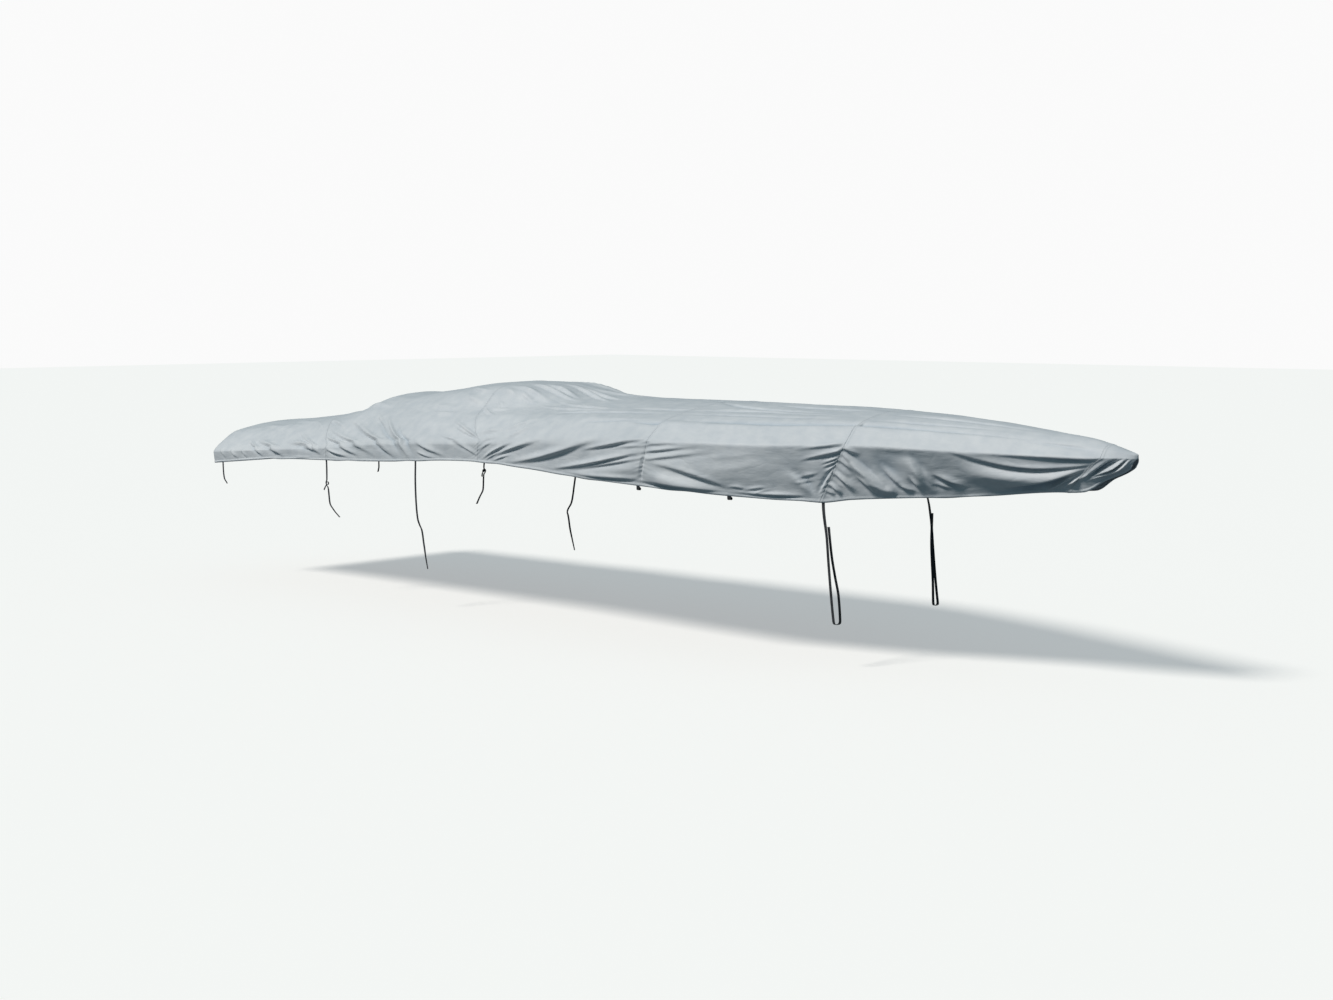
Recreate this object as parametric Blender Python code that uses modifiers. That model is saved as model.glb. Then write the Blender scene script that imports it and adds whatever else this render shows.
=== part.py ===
"""Boat cover: seven sewn cloth panels with hanging straps and empty tab loops, shaped as it lies in use.

Metres, +Z up, +X towards the nose, +Y to the far side. The origin lies just under the top, on the centre
plane. The tables give X forward of the stern edge, and heights above the ground below the hanging cover.
The cover is a loft along X. A point across it has a share: 0 on the ridge, BREAK where the crown ends,
SHEER where the top bends down into the skirt, and 1 on the hem.
"""

from collections import namedtuple

import bmesh
import bpy
import numpy as np

# Driving dimensions.
ORIGIN_FORWARD = 5.90
ORIGIN_HEIGHT = 2.318
CLOTH = 0.002
SEAM_GAP = 0.0006
WEB_WIDTH = 0.030
WEB_THICKNESS = 0.002
WEB_CLEAR = 0.0006
WEB_TUCK = 0.010
WEB_UNTWIST = 0.30
WEB_BELOW = 0.004
HEM_SAMPLES = 400
TAB_WIDTH = 0.038
TAB_DROP = 0.040
TAB_MOUTH = 0.026
TAB_TURN_POINTS = 7

# Shares across a section, and the share over which its bends are softened.
BREAK = 0.58
SHEER = 0.72
SOFTENING = 0.022
SOFTENING_SAMPLES = 7
CROWN_SHARES = (0.0, 0.15, 0.30, 0.45, BREAK)

# The hem: its band and the start of its swell, as shares, the share where folds begin to fade, and its swell.
HEM_BAND = 0.975
HEM_START = 0.955
FOLD_STOP = 0.90
HEM_SWELL = 0.004

# One row for each section: half the width at the bend, height of the bend, how far in and up from it the
# top breaks towards the crown, height of the ridge, how far the hem is tucked in, and height of the hem.
Section = namedtuple("Section", "x half_width sheer break_in break_up ridge tuck hem")
SECTIONS = (
    Section(0.00, 1.200, 1.543, 0.275, 0.205, 1.870, 0.020, 1.383),
    Section(0.60, 1.202, 1.580, 0.300, 0.230, 1.915, 0.018, 1.444),
    Section(1.30, 1.204, 1.630, 0.310, 0.255, 1.990, 0.015, 1.500),
    Section(2.28, 1.206, 1.700, 0.290, 0.265, 2.125, 0.012, 1.535),
    Section(3.30, 1.216, 1.800, 0.260, 0.250, 2.230, 0.010, 1.582),
    Section(4.95, 1.245, 1.885, 0.225, 0.230, 2.310, 0.010, 1.662),
    Section(5.70, 1.256, 1.930, 0.215, 0.220, 2.325, 0.015, 1.640),
    Section(6.50, 1.266, 1.975, 0.205, 0.200, 2.329, 0.028, 1.587),
    Section(7.39, 1.270, 2.008, 0.200, 0.160, 2.330, 0.040, 1.556),
    Section(8.45, 1.100, 2.003, 0.180, 0.170, 2.330, 0.085, 1.519),
    Section(9.10, 0.920, 2.020, 0.160, 0.165, 2.322, 0.115, 1.504),
    Section(9.38, 0.830, 2.028, 0.150, 0.160, 2.313, 0.130, 1.536),
    Section(10.40, 0.530, 2.006, 0.125, 0.140, 2.255, 0.200, 1.607),
    Section(11.10, 0.310, 1.995, 0.090, 0.110, 2.177, 0.170, 1.682),
    Section(11.36, 0.235, 1.995, 0.080, 0.090, 2.147, 0.130, 1.697),
    Section(11.55, 0.175, 1.996, 0.060, 0.070, 2.105, 0.100, 1.805),
    Section(11.70, 0.095, 1.996, 0.030, 0.045, 2.062, 0.050, 1.862),
    Section(11.78, 0.035, 1.996, 0.010, 0.025, 2.038, 0.010, 1.890),
    Section(11.80, 0.000, 1.996, 0.000, 0.020, 2.030, 0.000, 1.905),
)

# The hump: its height above the crown, half its width and the width of its soft flank. Its flank is a
# logistic curve as steep as HUMP_STEEPNESS says, and it fades out over a share of HUMP_FADE above the bend.
Hump = namedtuple("Hump", "x height half_width flank")
HUMP = (
    Hump(1.50, 0.000, 0.80, 0.50),
    Hump(2.05, 0.015, 0.80, 0.45),
    Hump(2.30, 0.055, 0.80, 0.40),
    Hump(2.60, 0.128, 0.80, 0.35),
    Hump(2.95, 0.098, 0.80, 0.32),
    Hump(3.50, 0.120, 0.76, 0.30),
    Hump(4.05, 0.160, 0.72, 0.26),
    Hump(4.50, 0.168, 0.68, 0.18),
    Hump(4.90, 0.148, 0.64, 0.16),
    Hump(5.20, 0.102, 0.60, 0.18),
    Hump(5.46, 0.044, 0.56, 0.22),
    Hump(5.66, 0.010, 0.52, 0.25),
    Hump(5.80, 0.000, 0.50, 0.25),
)
HUMP_STEEPNESS = 0.28
HUMP_FADE = 0.10

# How far a cross seam leans forward at the ridge and at the hem from its place at the bend.
Lean = namedtuple("Lean", "x ridge hem")
LEANS = (
    Lean(0.00, 0.00, 0.000),
    Lean(2.28, -0.45, 0.000),
    Lean(4.95, -0.45, -0.020),
    Lean(7.39, 0.00, -0.130),
    Lean(9.38, 0.00, -0.285),
    Lean(11.20, 0.00, -0.330),
    Lean(11.55, 0.00, -0.330),
    Lean(11.80, 0.00, -0.050),
)
LEAN_REACH = 0.45
NUDGE = 0.001

# Main folds: each runs from one point to another, given by the station's X at the bend and by the drop below
# the bend (above it is negative), with a sideways bow. Depth is how far the cloth sinks, negative for a ridge.
Fold = namedtuple("Fold", "x0 drop0 x1 drop1 bow depth half_width")
FOLDS = (
    Fold(0.75, -0.12, 1.80, 0.11, -0.03, 0.022, 0.075),
    Fold(1.40, -0.03, 2.15, 0.10, -0.02, 0.016, 0.065),
    Fold(2.35, -0.10, 3.05, 0.15, 0.00, 0.024, 0.070),
    Fold(2.55, -0.23, 3.52, 0.18, 0.00, 0.026, 0.075),
    Fold(3.36, -0.32, 3.80, 0.20, 0.02, -0.026, 0.070),
    Fold(3.90, 0.02, 4.60, 0.17, 0.00, 0.022, 0.070),
    Fold(4.50, -0.22, 4.88, 0.05, 0.00, 0.018, 0.065),
    Fold(5.04, 0.19, 5.65, -0.03, -0.01, 0.024, 0.070),
    Fold(5.28, 0.23, 6.35, -0.02, -0.02, 0.026, 0.070),
    Fold(5.50, 0.24, 6.78, 0.04, 0.01, 0.036, 0.070),
    Fold(6.20, 0.31, 7.30, 0.12, 0.01, 0.030, 0.065),
    Fold(6.35, 0.36, 7.30, 0.27, 0.01, 0.028, 0.060),
    Fold(7.46, 0.16, 8.45, 0.38, 0.01, 0.034, 0.065),
    Fold(7.46, 0.26, 8.50, 0.44, 0.00, -0.034, 0.060),
    Fold(7.46, 0.38, 8.40, 0.50, -0.01, 0.030, 0.060),
    Fold(7.46, 0.09, 8.10, 0.04, 0.00, 0.016, 0.060),
    Fold(8.65, 0.10, 9.15, 0.42, 0.03, 0.024, 0.075),
    Fold(8.95, 0.14, 9.32, 0.02, 0.00, 0.020, 0.065),
    Fold(9.44, 0.06, 9.86, 0.42, -0.02, -0.028, 0.070),
    Fold(9.62, 0.16, 9.98, 0.43, 0.00, 0.032, 0.065),
    Fold(9.84, 0.12, 10.22, 0.40, 0.00, 0.030, 0.065),
    Fold(10.08, 0.10, 10.48, 0.36, 0.00, 0.026, 0.065),
    Fold(10.34, 0.20, 10.80, 0.32, 0.02, 0.024, 0.065),
    Fold(10.10, 0.01, 11.44, 0.07, -0.04, 0.042, 0.055),
    Fold(10.45, 0.20, 11.40, 0.15, -0.02, -0.030, 0.060),
    Fold(5.75, -0.35, 7.20, -0.50, 0.01, 0.010, 0.070),
    Fold(5.30, -1.05, 6.10, -0.75, 0.00, 0.014, 0.080),
    Fold(4.62, -0.64, 5.20, -0.52, -0.03, 0.014, 0.070),
)
FOLD_KEEP_OFF = 0.06
FOLD_AT_ENDS = 0.35
FAR_SIDE_SHIFT = 0.05
FAR_SIDE_WAVE = 7.0
GIRTH_FOR_RISE = 0.5

# Cloth panels between cross seams, by the seams' X at the bend and the number of cells along each.
Panel = namedtuple("Panel", "name aft fore cells")
PANELS = (
    Panel("panel_stern", 0.00, 2.28, 15),
    Panel("panel_aft", 2.28, 4.95, 22),
    Panel("panel_hump", 4.95, 7.39, 24),
    Panel("panel_mid", 7.39, 9.38, 20),
    Panel("panel_fore", 9.38, 11.55, 26),
    Panel("nose_cap", 11.55, 11.80, 6),
)
SEAM_CELL = 0.006
CROWD = 0.06
SHARES_ACROSS = (0.0, 0.10, 0.20, 0.30, 0.40, 0.49, BREAK, 0.65, SHEER, 0.77, 0.82, 0.87, 0.92, HEM_BAND, 1.0)
STERN_ROWS = 4

# Straps on the near side, by X and Y of points below the hem, from the hem down, all with the face to -Y.
Web = namedtuple("Web", "x y height width thickness")
STRAP_STERN = (
    Web(0.175, -1.179, 1.300, WEB_WIDTH, WEB_THICKNESS),
    Web(0.183, -1.174, 1.210, WEB_WIDTH, WEB_THICKNESS),
    Web(0.200, -1.145, 1.140, WEB_WIDTH, WEB_THICKNESS),
)
STRAP_KNOTTED = (
    Web(2.262, -1.182, 1.420, WEB_WIDTH, WEB_THICKNESS),
    Web(2.256, -1.176, 1.310, 0.024, 0.003),
    Web(2.256, -1.174, 1.297, 0.036, 0.018),
    Web(2.256, -1.173, 1.281, 0.042, 0.024),
    Web(2.257, -1.172, 1.265, 0.036, 0.018),
    Web(2.258, -1.170, 1.252, 0.024, 0.003),
    Web(2.264, -1.160, 1.150, WEB_WIDTH, WEB_THICKNESS),
    Web(2.267, -1.150, 1.046, WEB_WIDTH, WEB_THICKNESS),
    Web(2.268, -1.100, 0.965, WEB_WIDTH, WEB_THICKNESS),
    Web(2.285, -1.030, 0.875, WEB_WIDTH, WEB_THICKNESS),
)
STRAP_TAIL = (
    Web(2.2390, -1.173, 1.256, 0.012, WEB_THICKNESS),
    Web(2.222, -1.178, 1.228, 0.022, WEB_THICKNESS),
    Web(2.207, -1.185, 1.195, 0.024, WEB_THICKNESS),
)
STRAP_LONG = (
    Web(3.872, -1.205, 1.450, WEB_WIDTH, WEB_THICKNESS),
    Web(3.848, -1.180, 1.187, WEB_WIDTH, WEB_THICKNESS),
    Web(3.834, -1.150, 0.993, WEB_WIDTH, WEB_THICKNESS),
    Web(3.816, -1.105, 0.905, 0.026, 0.005),
    Web(3.820, -1.094, 0.880, 0.036, 0.012),
    Web(3.832, -1.092, 0.855, 0.026, 0.005),
    Web(3.865, -1.092, 0.700, WEB_WIDTH, WEB_THICKNESS),
    Web(3.900, -1.097, 0.560, 0.024, WEB_THICKNESS),
    Web(3.934, -1.100, 0.442, 0.018, WEB_THICKNESS),
)
STRAP_LOOP = (
    Web(9.150, -0.805, 1.345, WEB_WIDTH, WEB_THICKNESS),
    Web(9.175, -0.805, 1.200, WEB_WIDTH, WEB_THICKNESS),
    Web(9.198, -0.805, 0.968, WEB_WIDTH, WEB_THICKNESS),
    Web(9.233, -0.805, 0.652, WEB_WIDTH, WEB_THICKNESS),
    Web(9.262, -0.805, 0.440, WEB_WIDTH, WEB_THICKNESS),
    Web(9.266, -0.798, 0.418, WEB_WIDTH, WEB_THICKNESS),
    Web(9.268, -0.780, 0.410, WEB_WIDTH, WEB_THICKNESS),
    Web(9.270, -0.745, 0.410, WEB_WIDTH, WEB_THICKNESS),
    Web(9.271, -0.727, 0.418, WEB_WIDTH, WEB_THICKNESS),
    Web(9.270, -0.720, 0.440, WEB_WIDTH, WEB_THICKNESS),
    Web(9.256, -0.728, 0.658, WEB_WIDTH, WEB_THICKNESS),
    Web(9.228, -0.748, 0.844, WEB_WIDTH, WEB_THICKNESS),
    Web(9.205, -0.768, 1.023, WEB_WIDTH, WEB_THICKNESS),
    Web(9.190, -0.797, 1.290, WEB_WIDTH, WEB_THICKNESS),
)

# Each piece of webbing: its name, the X of its seam on the hem and its points.
Strap = namedtuple("Strap", "name x webs")
STRAPS = (
    Strap("strap_stern", 0.170, STRAP_STERN),
    Strap("strap_knotted", 2.270, STRAP_KNOTTED),
    Strap("strap_long", 3.886, STRAP_LONG),
    Strap("strap_loop", 9.125, STRAP_LOOP),
)
TABS = (("tab_mid", 7.23), ("tab_fore", 8.24))
SIDES = (("near", -1), ("far", 1))

# Colour, roughness and metallic value of each material.
Look = namedtuple("Look", "colour roughness metallic")
LOOKS = {
    "silver_polyester": Look((0.52, 0.57, 0.62, 1.0), 0.62, 0.0),
    "black_webbing": Look((0.012, 0.012, 0.014, 1.0), 0.75, 0.0),
}


def clear_scene():
    """Removes every object, so that the script can be run again in the same file."""
    for obj in list(bpy.data.objects):
        bpy.data.objects.remove(obj, do_unlink=True)


def smooth(x, xs, ys):
    """Monotone cubic through (xs, ys): the slope at a point is the weighted harmonic mean of its neighbours'."""
    xs = np.asarray(xs, float)
    ys = np.asarray(ys, float)
    step = np.diff(xs)
    rise = np.diff(ys) / step
    slope = np.zeros_like(ys)
    slope[0] = rise[0]
    slope[-1] = rise[-1]
    for i in range(1, len(xs) - 1):
        if rise[i - 1] * rise[i] > 0:
            before = step[i - 1] + 2 * step[i]
            after = 2 * step[i - 1] + step[i]
            slope[i] = (before + after) / (before / rise[i - 1] + after / rise[i])
    x = np.clip(x, xs[0], xs[-1])
    i = np.clip(np.searchsorted(xs, x, side="right") - 1, 0, len(xs) - 2)
    t = (x - xs[i]) / step[i]
    start = (1 + 2 * t) * (1 - t) ** 2 * ys[i] + t * (1 - t) ** 2 * step[i] * slope[i]
    end = t * t * (3 - 2 * t) * ys[i + 1] + t * t * (t - 1) * step[i] * slope[i + 1]
    return start + end


def column(table, name, x):
    """A column of a table that has an x column, read smoothly at x."""
    return smooth(x, [row.x for row in table], [getattr(row, name) for row in table])


def softened(share, knots, values):
    """Straight runs between the knots, averaged over the softening width so that the bends are round."""
    total = 0
    for offset in np.linspace(-SOFTENING, SOFTENING, SOFTENING_SAMPLES):
        at = np.minimum(np.abs(share + offset), 1)
        for i, knot in enumerate(knots):
            hat = np.interp(at, knots, [float(k == knot) for k in knots])
            total = total + hat * values[i]
    return total / SOFTENING_SAMPLES


def fold_relief(station, drop):
    """How far the main folds push the cloth in: a bell across each fold's bowed line, faded at its two ends."""
    relief = np.zeros_like(station)
    for fold in FOLDS:
        run = np.array((fold.x1 - fold.x0, fold.drop1 - fold.drop0))
        length = np.hypot(*run)
        along = ((station - fold.x0) * run[0] + (drop - fold.drop0) * run[1]) / length**2
        inside = np.clip(along, 0, 1)
        away = ((drop - fold.drop0) * run[0] - (station - fold.x0) * run[1]) / length
        away = away - fold.bow * 4 * inside * (1 - inside)
        past = (along - inside) * length
        distance = np.hypot(away, past) / fold.half_width
        fade = FOLD_AT_ENDS + (1 - FOLD_AT_ENDS) * np.sqrt(np.sin(np.pi * inside))
        relief += fold.depth * fade * np.exp(-(distance**2))
    return relief


def section_point(x, share, side):
    """The smooth cover without folds. share and side give the place across; x is where it lies along."""
    value = {name: column(SECTIONS, name, x) for name in Section._fields[1:]}
    break_half = value["half_width"] - value["break_in"]
    break_height = value["sheer"] + value["break_up"]
    crown = value["ridge"] - break_height
    knots = CROWN_SHARES + (SHEER, 1.0)
    across = [break_half * k / BREAK for k in CROWN_SHARES]
    across += [value["half_width"], value["half_width"] - value["tuck"]]
    height = [value["ridge"] - crown * (k / BREAK) ** 2 for k in CROWN_SHARES]
    height += [value["sheer"], value["hem"]]
    y = softened(share, knots, across)
    z = softened(share, knots, height)
    # The soft bend of the edges must not lift the hem, nor the ridge's two halves from the centre plane.
    y = np.where(share < SOFTENING, break_half * share / BREAK, y)
    z = np.where(share > 1 - SOFTENING, value["sheer"] + (value["hem"] - value["sheer"]) * skirt_share(share), z)
    steep = HUMP_STEEPNESS * column(HUMP, "flank", x)
    half = column(HUMP, "half_width", x)
    flank = (1 + np.exp(-half / steep)) / (1 + np.exp((y - half) / steep))
    z = z + column(HUMP, "height", x) * flank * np.clip((SHEER - share) / HUMP_FADE, 0, 1)
    return np.stack([x, side * y, z], axis=-1)


def skirt_share(share):
    """0 at the bend and above it, 1 at the hem."""
    return np.clip((share - SHEER) / (1 - SHEER), 0, 1)


def cover_surface(station, across):
    """Points of the outer face, and its outward directions, at a station's X at the bend and a share across.

    The share is negative on the near side.
    """
    station, across = np.broadcast_arrays(np.asarray(station, float), np.asarray(across, float))
    share = np.abs(across)
    side = np.where(across < 0, -1.0, 1.0)
    inward = np.minimum((1 - np.clip(share / SHEER, 0, 1)) / LEAN_REACH, 1)
    lean = column(LEANS, "ridge", station) * (1 - (1 - inward) ** 2)
    lean = lean + column(LEANS, "hem", station) * skirt_share(share)
    x = np.clip(station + lean, 0, SECTIONS[-1].x)
    point = section_point(x, share, side)
    forward = section_point(np.clip(x + NUDGE, 0, SECTIONS[-1].x), share, side)
    forward = forward - section_point(np.clip(x - NUDGE, 0, SECTIONS[-1].x), share, side)
    around = section_point(x, np.clip(share + NUDGE, 0, 1), side)
    around = around - section_point(x, np.clip(share - NUDGE, 0, 1), side)
    out = np.cross(forward, around) * side[..., None]
    out = out / np.maximum(np.linalg.norm(out, axis=-1, keepdims=True), 1e-12)
    skirt_height = column(SECTIONS, "sheer", x) - column(SECTIONS, "hem", x)
    top_girth = column(SECTIONS, "half_width", x) + GIRTH_FOR_RISE * column(SECTIONS, "break_up", x)
    drop = np.where(share > SHEER, skirt_share(share) * skirt_height, (share / SHEER - 1) * top_girth)
    shifted = station + FAR_SIDE_SHIFT * np.sin(FAR_SIDE_WAVE * station) * (side > 0)
    relief = fold_relief(shifted, drop)
    ends = np.minimum(station, SECTIONS[-1].x - station) / FOLD_KEEP_OFF
    relief = relief * np.clip(ends, 0, 1) * np.clip((HEM_BAND - share) / (HEM_BAND - FOLD_STOP), 0, 1)
    swell = HEM_SWELL * np.clip((share - HEM_START) / (HEM_BAND - HEM_START), 0, 1)
    return point + out * (swell - relief)[..., None], out


def cover_point(station, across):
    """Points of the outer face alone."""
    return cover_surface(station, across)[0]


def to_frame(points):
    """From X forward of the stern and height above the ground to the cover's own frame."""
    return points - np.array((ORIGIN_FORWARD, 0.0, ORIGIN_HEIGHT))


def make_materials():
    """One Principled material for each look."""
    made = {}
    for name, look in LOOKS.items():
        material = bpy.data.materials.new(name)
        material.use_nodes = True
        shader = material.node_tree.nodes["Principled BSDF"]
        shader.inputs["Base Color"].default_value = look.colour
        shader.inputs["Roughness"].default_value = look.roughness
        shader.inputs["Metallic"].default_value = look.metallic
        made[name] = material
    return made


def new_object(name, vertices, faces, place, parent, material):
    """An object of its own mesh, in the cover's collection, with its vertices given in the cover's frame."""
    mesh = bpy.data.meshes.new(name)
    mesh.from_pydata((vertices - place).tolist(), [], faces)
    mesh.materials.append(material)
    obj = bpy.data.objects.new(name, mesh)
    obj.location = place
    obj.parent = parent
    COLLECTION.objects.link(obj)
    return obj


def grid_faces(rows, columns):
    """Quads of a grid of points numbered row by row."""
    faces = []
    for row in range(rows - 1):
        for column_index in range(columns - 1):
            corner = row * columns + column_index
            faces.append((corner, corner + 1, corner + columns + 1, corner + columns))
    return faces


def close_up(obj):
    """Merges points that coincide and turns all faces the same way."""
    work = bmesh.new()
    work.from_mesh(obj.data)
    bmesh.ops.remove_doubles(work, verts=work.verts, dist=1e-5)
    bmesh.ops.recalc_face_normals(work, faces=work.faces)
    work.to_mesh(obj.data)
    work.free()


def thicken(obj, outward):
    """Solidify with the cloth's thickness on the inside. outward is a direction that the outer face looks in."""
    mesh = obj.data
    mean = np.zeros(3)
    for face in mesh.polygons:
        mean += np.array(face.normal) * face.area
    if np.dot(mean, outward) < 0:
        mesh.flip_normals()
    shell = obj.modifiers.new("cloth", "SOLIDIFY")
    shell.thickness = CLOTH
    shell.offset = -1.0
    shell.use_rim = True
    mesh.shade_smooth()


def panel_stations(panel):
    """Stations of a panel: a narrow cell at each seam, and the rest drawn together towards the seams."""
    aft = panel.aft + SEAM_GAP / 2
    fore = panel.fore - (SEAM_GAP / 2 if panel.fore < SECTIONS[-1].x else 0)
    share = np.linspace(0, 1, panel.cells + 1)
    share = share - CROWD * np.sin(2 * np.pi * share)
    first = aft + (SEAM_CELL if panel.aft > 0 else 0)
    last = fore - (SEAM_CELL if panel.fore < SECTIONS[-1].x else 0)
    stations = list(first + (last - first) * share)
    if first > aft:
        stations.insert(0, aft)
    if last < fore:
        stations.append(fore)
    return np.array(stations)


def both_sides(shares):
    """Shares from the near side over the ridge to the far side, from those of one side."""
    return np.array([-share for share in shares[:0:-1]] + list(shares))


def build_panel(panel, parent, material):
    """A cloth panel: a loft through its stations, from the near hem over the ridge to the far hem."""
    across = both_sides(SHARES_ACROSS)
    stations = panel_stations(panel)
    points = to_frame(cover_point(stations[:, None], across[None, :]))
    place = np.array((panel.aft - ORIGIN_FORWARD, 0.0, 0.0))
    faces = grid_faces(len(stations), len(across))
    obj = new_object(panel.name, points.reshape(-1, 3), faces, place, parent, material)
    close_up(obj)
    thicken(obj, (0, 0, 1))
    return obj


def build_stern_end(parent, material):
    """The panel that closes the stern: rows that run from the end section's top edge down to a level hem.

    Its two side columns follow the end section's skirt, and the rest of each row goes in step with them.
    """
    top = cover_point(0.0, both_sides([share for share in SHARES_ACROSS if share <= SHEER]))
    skirt = cover_point(0.0, np.linspace(SHEER, 1.0, STERN_ROWS + 1))
    down = (skirt[0, 2] - skirt[:, 2]) / (skirt[0, 2] - skirt[-1, 2])
    widen = skirt[:, 1] / skirt[0, 1]
    height = top[None, :, 2] + (skirt[-1, 2] - top[None, :, 2]) * down[:, None]
    aft = np.full_like(height, -SEAM_GAP - CLOTH)
    points = to_frame(np.stack([aft, top[None, :, 1] * widen[:, None], height], axis=-1))
    place = np.array((-ORIGIN_FORWARD, 0.0, 0.0))
    faces = grid_faces(STERN_ROWS + 1, len(top))
    obj = new_object("stern_end", points.reshape(-1, 3), faces, place, parent, material)
    thicken(obj, (-1, 0, 0))
    return obj


def build_webbing(name, webs, side, parent, material):
    """A strap: a flat band lofted through its points, each with its own width and thickness, with closed ends."""
    path = np.array([(web.x, web.y, web.height) for web in webs])
    ahead = np.gradient(path, axis=0)
    ahead /= np.linalg.norm(ahead, axis=1, keepdims=True)
    fade = np.clip(1 - (path[0, 2] - path[:, 2]) / WEB_UNTWIST, 0, 1)
    wide = np.stack([np.ones(len(webs)), hem_slope(path[0, 0]) * fade, np.zeros(len(webs))], axis=1)
    wide -= ahead * (ahead * wide).sum(axis=1, keepdims=True)
    wide /= np.linalg.norm(wide, axis=1, keepdims=True)
    face = np.cross(ahead, wide)
    half_width = np.array([web.width for web in webs])[:, None] / 2
    half_thick = np.array([web.thickness for web in webs])[:, None] / 2
    corners = [(-1, -1), (1, -1), (1, 1), (-1, 1)]
    rings = [path + a * half_width * wide + b * half_thick * face for a, b in corners]
    points = np.stack(rings, axis=1).reshape(-1, 3)
    points[:, 1] *= -side
    points = to_frame(points)
    faces = [(0, 1, 2, 3)]
    for row in range(len(webs) - 1):
        for corner in range(4):
            after = (corner + 1) % 4
            faces.append((row * 4 + corner, row * 4 + after, row * 4 + 4 + after, row * 4 + 4 + corner))
    last = 4 * (len(webs) - 1)
    faces.append((last + 3, last + 2, last + 1, last))
    obj = new_object(name, points, faces, points.mean(axis=0), parent, material)
    close_up(obj)
    return obj


def hem_half(x):
    """Half the cover's width at the hem."""
    return column(SECTIONS, "half_width", x) - column(SECTIONS, "tuck", x)


def hem_slope(x):
    """How fast the near side's hem runs towards the centre plane, in plan."""
    return (hem_half(x - NUDGE) - hem_half(x + NUDGE)) / (2 * NUDGE)


def hem_end(x, width):
    """The two points where webbing leaves its seam behind the near side's hem, at X along that hem."""
    stations = np.linspace(0, SECTIONS[-1].x, HEM_SAMPLES)
    station = np.interp(x, cover_point(stations, -1.0)[:, 0], stations)
    skirt = column(SECTIONS, "sheer", x) - column(SECTIONS, "hem", x)
    face, out = cover_surface(station, np.array((WEB_TUCK / skirt * (1 - SHEER) - 1, -1)))
    behind = face - out * (CLOTH + WEB_CLEAR + WEB_THICKNESS / 2)
    behind[1] += (behind[1] - behind[0]) * WEB_BELOW / WEB_TUCK
    return tuple(Web(*point, width, WEB_THICKNESS) for point in behind)


def tab_points(x):
    """An empty tab: a band folded into a drop-shaped loop, both of whose ends go up behind the hem's edge."""
    upper, lower = hem_end(x, TAB_WIDTH)
    turn = TAB_MOUTH / 2
    webs = [upper, lower]
    for angle in np.linspace(0, np.pi, TAB_TURN_POINTS):
        inward = turn - turn * np.cos(angle)
        down = TAB_DROP - turn + turn * np.sin(angle)
        webs.append(lower._replace(y=lower.y + inward, height=lower.height - down))
    behind = WEB_THICKNESS + WEB_CLEAR
    webs.append(lower._replace(y=lower.y + behind))
    webs.append(upper._replace(y=upper.y + behind))
    return webs


def build_webbings(parent, material):
    """The straps and tabs of both sides."""
    for suffix, side in SIDES:
        for strap in STRAPS:
            webs = hem_end(strap.x, WEB_WIDTH) + strap.webs
            build_webbing(f"{strap.name}_{suffix}", webs, side, parent, material)
        build_webbing(f"strap_tail_{suffix}", STRAP_TAIL, side, parent, material)
        for name, x in TABS:
            build_webbing(f"{name}_{suffix}", tab_points(x), side, parent, material)


clear_scene()
COLLECTION = bpy.data.collections.new("boat_cover")
bpy.context.scene.collection.children.link(COLLECTION)
MATERIALS = make_materials()
COVER = bpy.data.objects.new("boat_cover_origin", None)
COLLECTION.objects.link(COVER)
build_stern_end(COVER, MATERIALS["silver_polyester"])
for cover_panel in PANELS:
    build_panel(cover_panel, COVER, MATERIALS["silver_polyester"])
build_webbings(COVER, MATERIALS["black_webbing"])
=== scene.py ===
"""Boat cover: sewn panels of silver-grey woven polyester, with black webbing straps and empty tab loops.

Metres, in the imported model's frame: +X towards the nose, +Y to the far side, +Z up.
"""

import math
from collections import namedtuple

import bmesh
import bpy
import numpy as np
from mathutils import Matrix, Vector


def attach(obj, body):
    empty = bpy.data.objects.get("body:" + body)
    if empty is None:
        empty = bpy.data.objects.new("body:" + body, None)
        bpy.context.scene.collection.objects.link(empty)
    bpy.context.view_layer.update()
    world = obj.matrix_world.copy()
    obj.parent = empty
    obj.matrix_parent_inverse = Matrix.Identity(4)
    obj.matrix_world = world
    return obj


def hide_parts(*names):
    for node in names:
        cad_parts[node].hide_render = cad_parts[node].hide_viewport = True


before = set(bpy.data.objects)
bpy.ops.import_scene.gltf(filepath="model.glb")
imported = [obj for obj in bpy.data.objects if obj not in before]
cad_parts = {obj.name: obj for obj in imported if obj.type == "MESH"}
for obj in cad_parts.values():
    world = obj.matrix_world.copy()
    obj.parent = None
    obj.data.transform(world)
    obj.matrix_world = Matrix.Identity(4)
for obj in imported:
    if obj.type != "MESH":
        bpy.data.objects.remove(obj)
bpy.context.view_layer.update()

# ------------------------------------------------------------------ Floor, light and camera
# A pale studio: a matt floor under a pale sky, and one broad light high on the near side. The camera stands
# ahead of the nose on the near side, a little higher than the cover.
FLOOR_HEIGHT = -2.318
FLOOR_SPAN = 90.0
CAMERA_PLACE = (13.5255, -13.7748, 0.8691)
CAMERA_HEADING = 43.30
CAMERA_PITCH = 5.74
LENS = 50.0
SENSOR_WIDTH = 36.0
KEY_STRENGTH = 3.05
KEY_SPREAD = 14.0
KEY_COLOUR = (1.0, 0.985, 0.96)
KEY_HEADING = (0.18, 0.63, -0.74)
FLOOR_THROWN, FLOOR_SEEN = (0.12, 0.15, 0.17), (0.62, 0.60, 0.57)
GLOW_THROWN, GLOW_SEEN = (0.0, 0.0, 0.0), (0.40, 0.40, 0.40)
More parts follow.
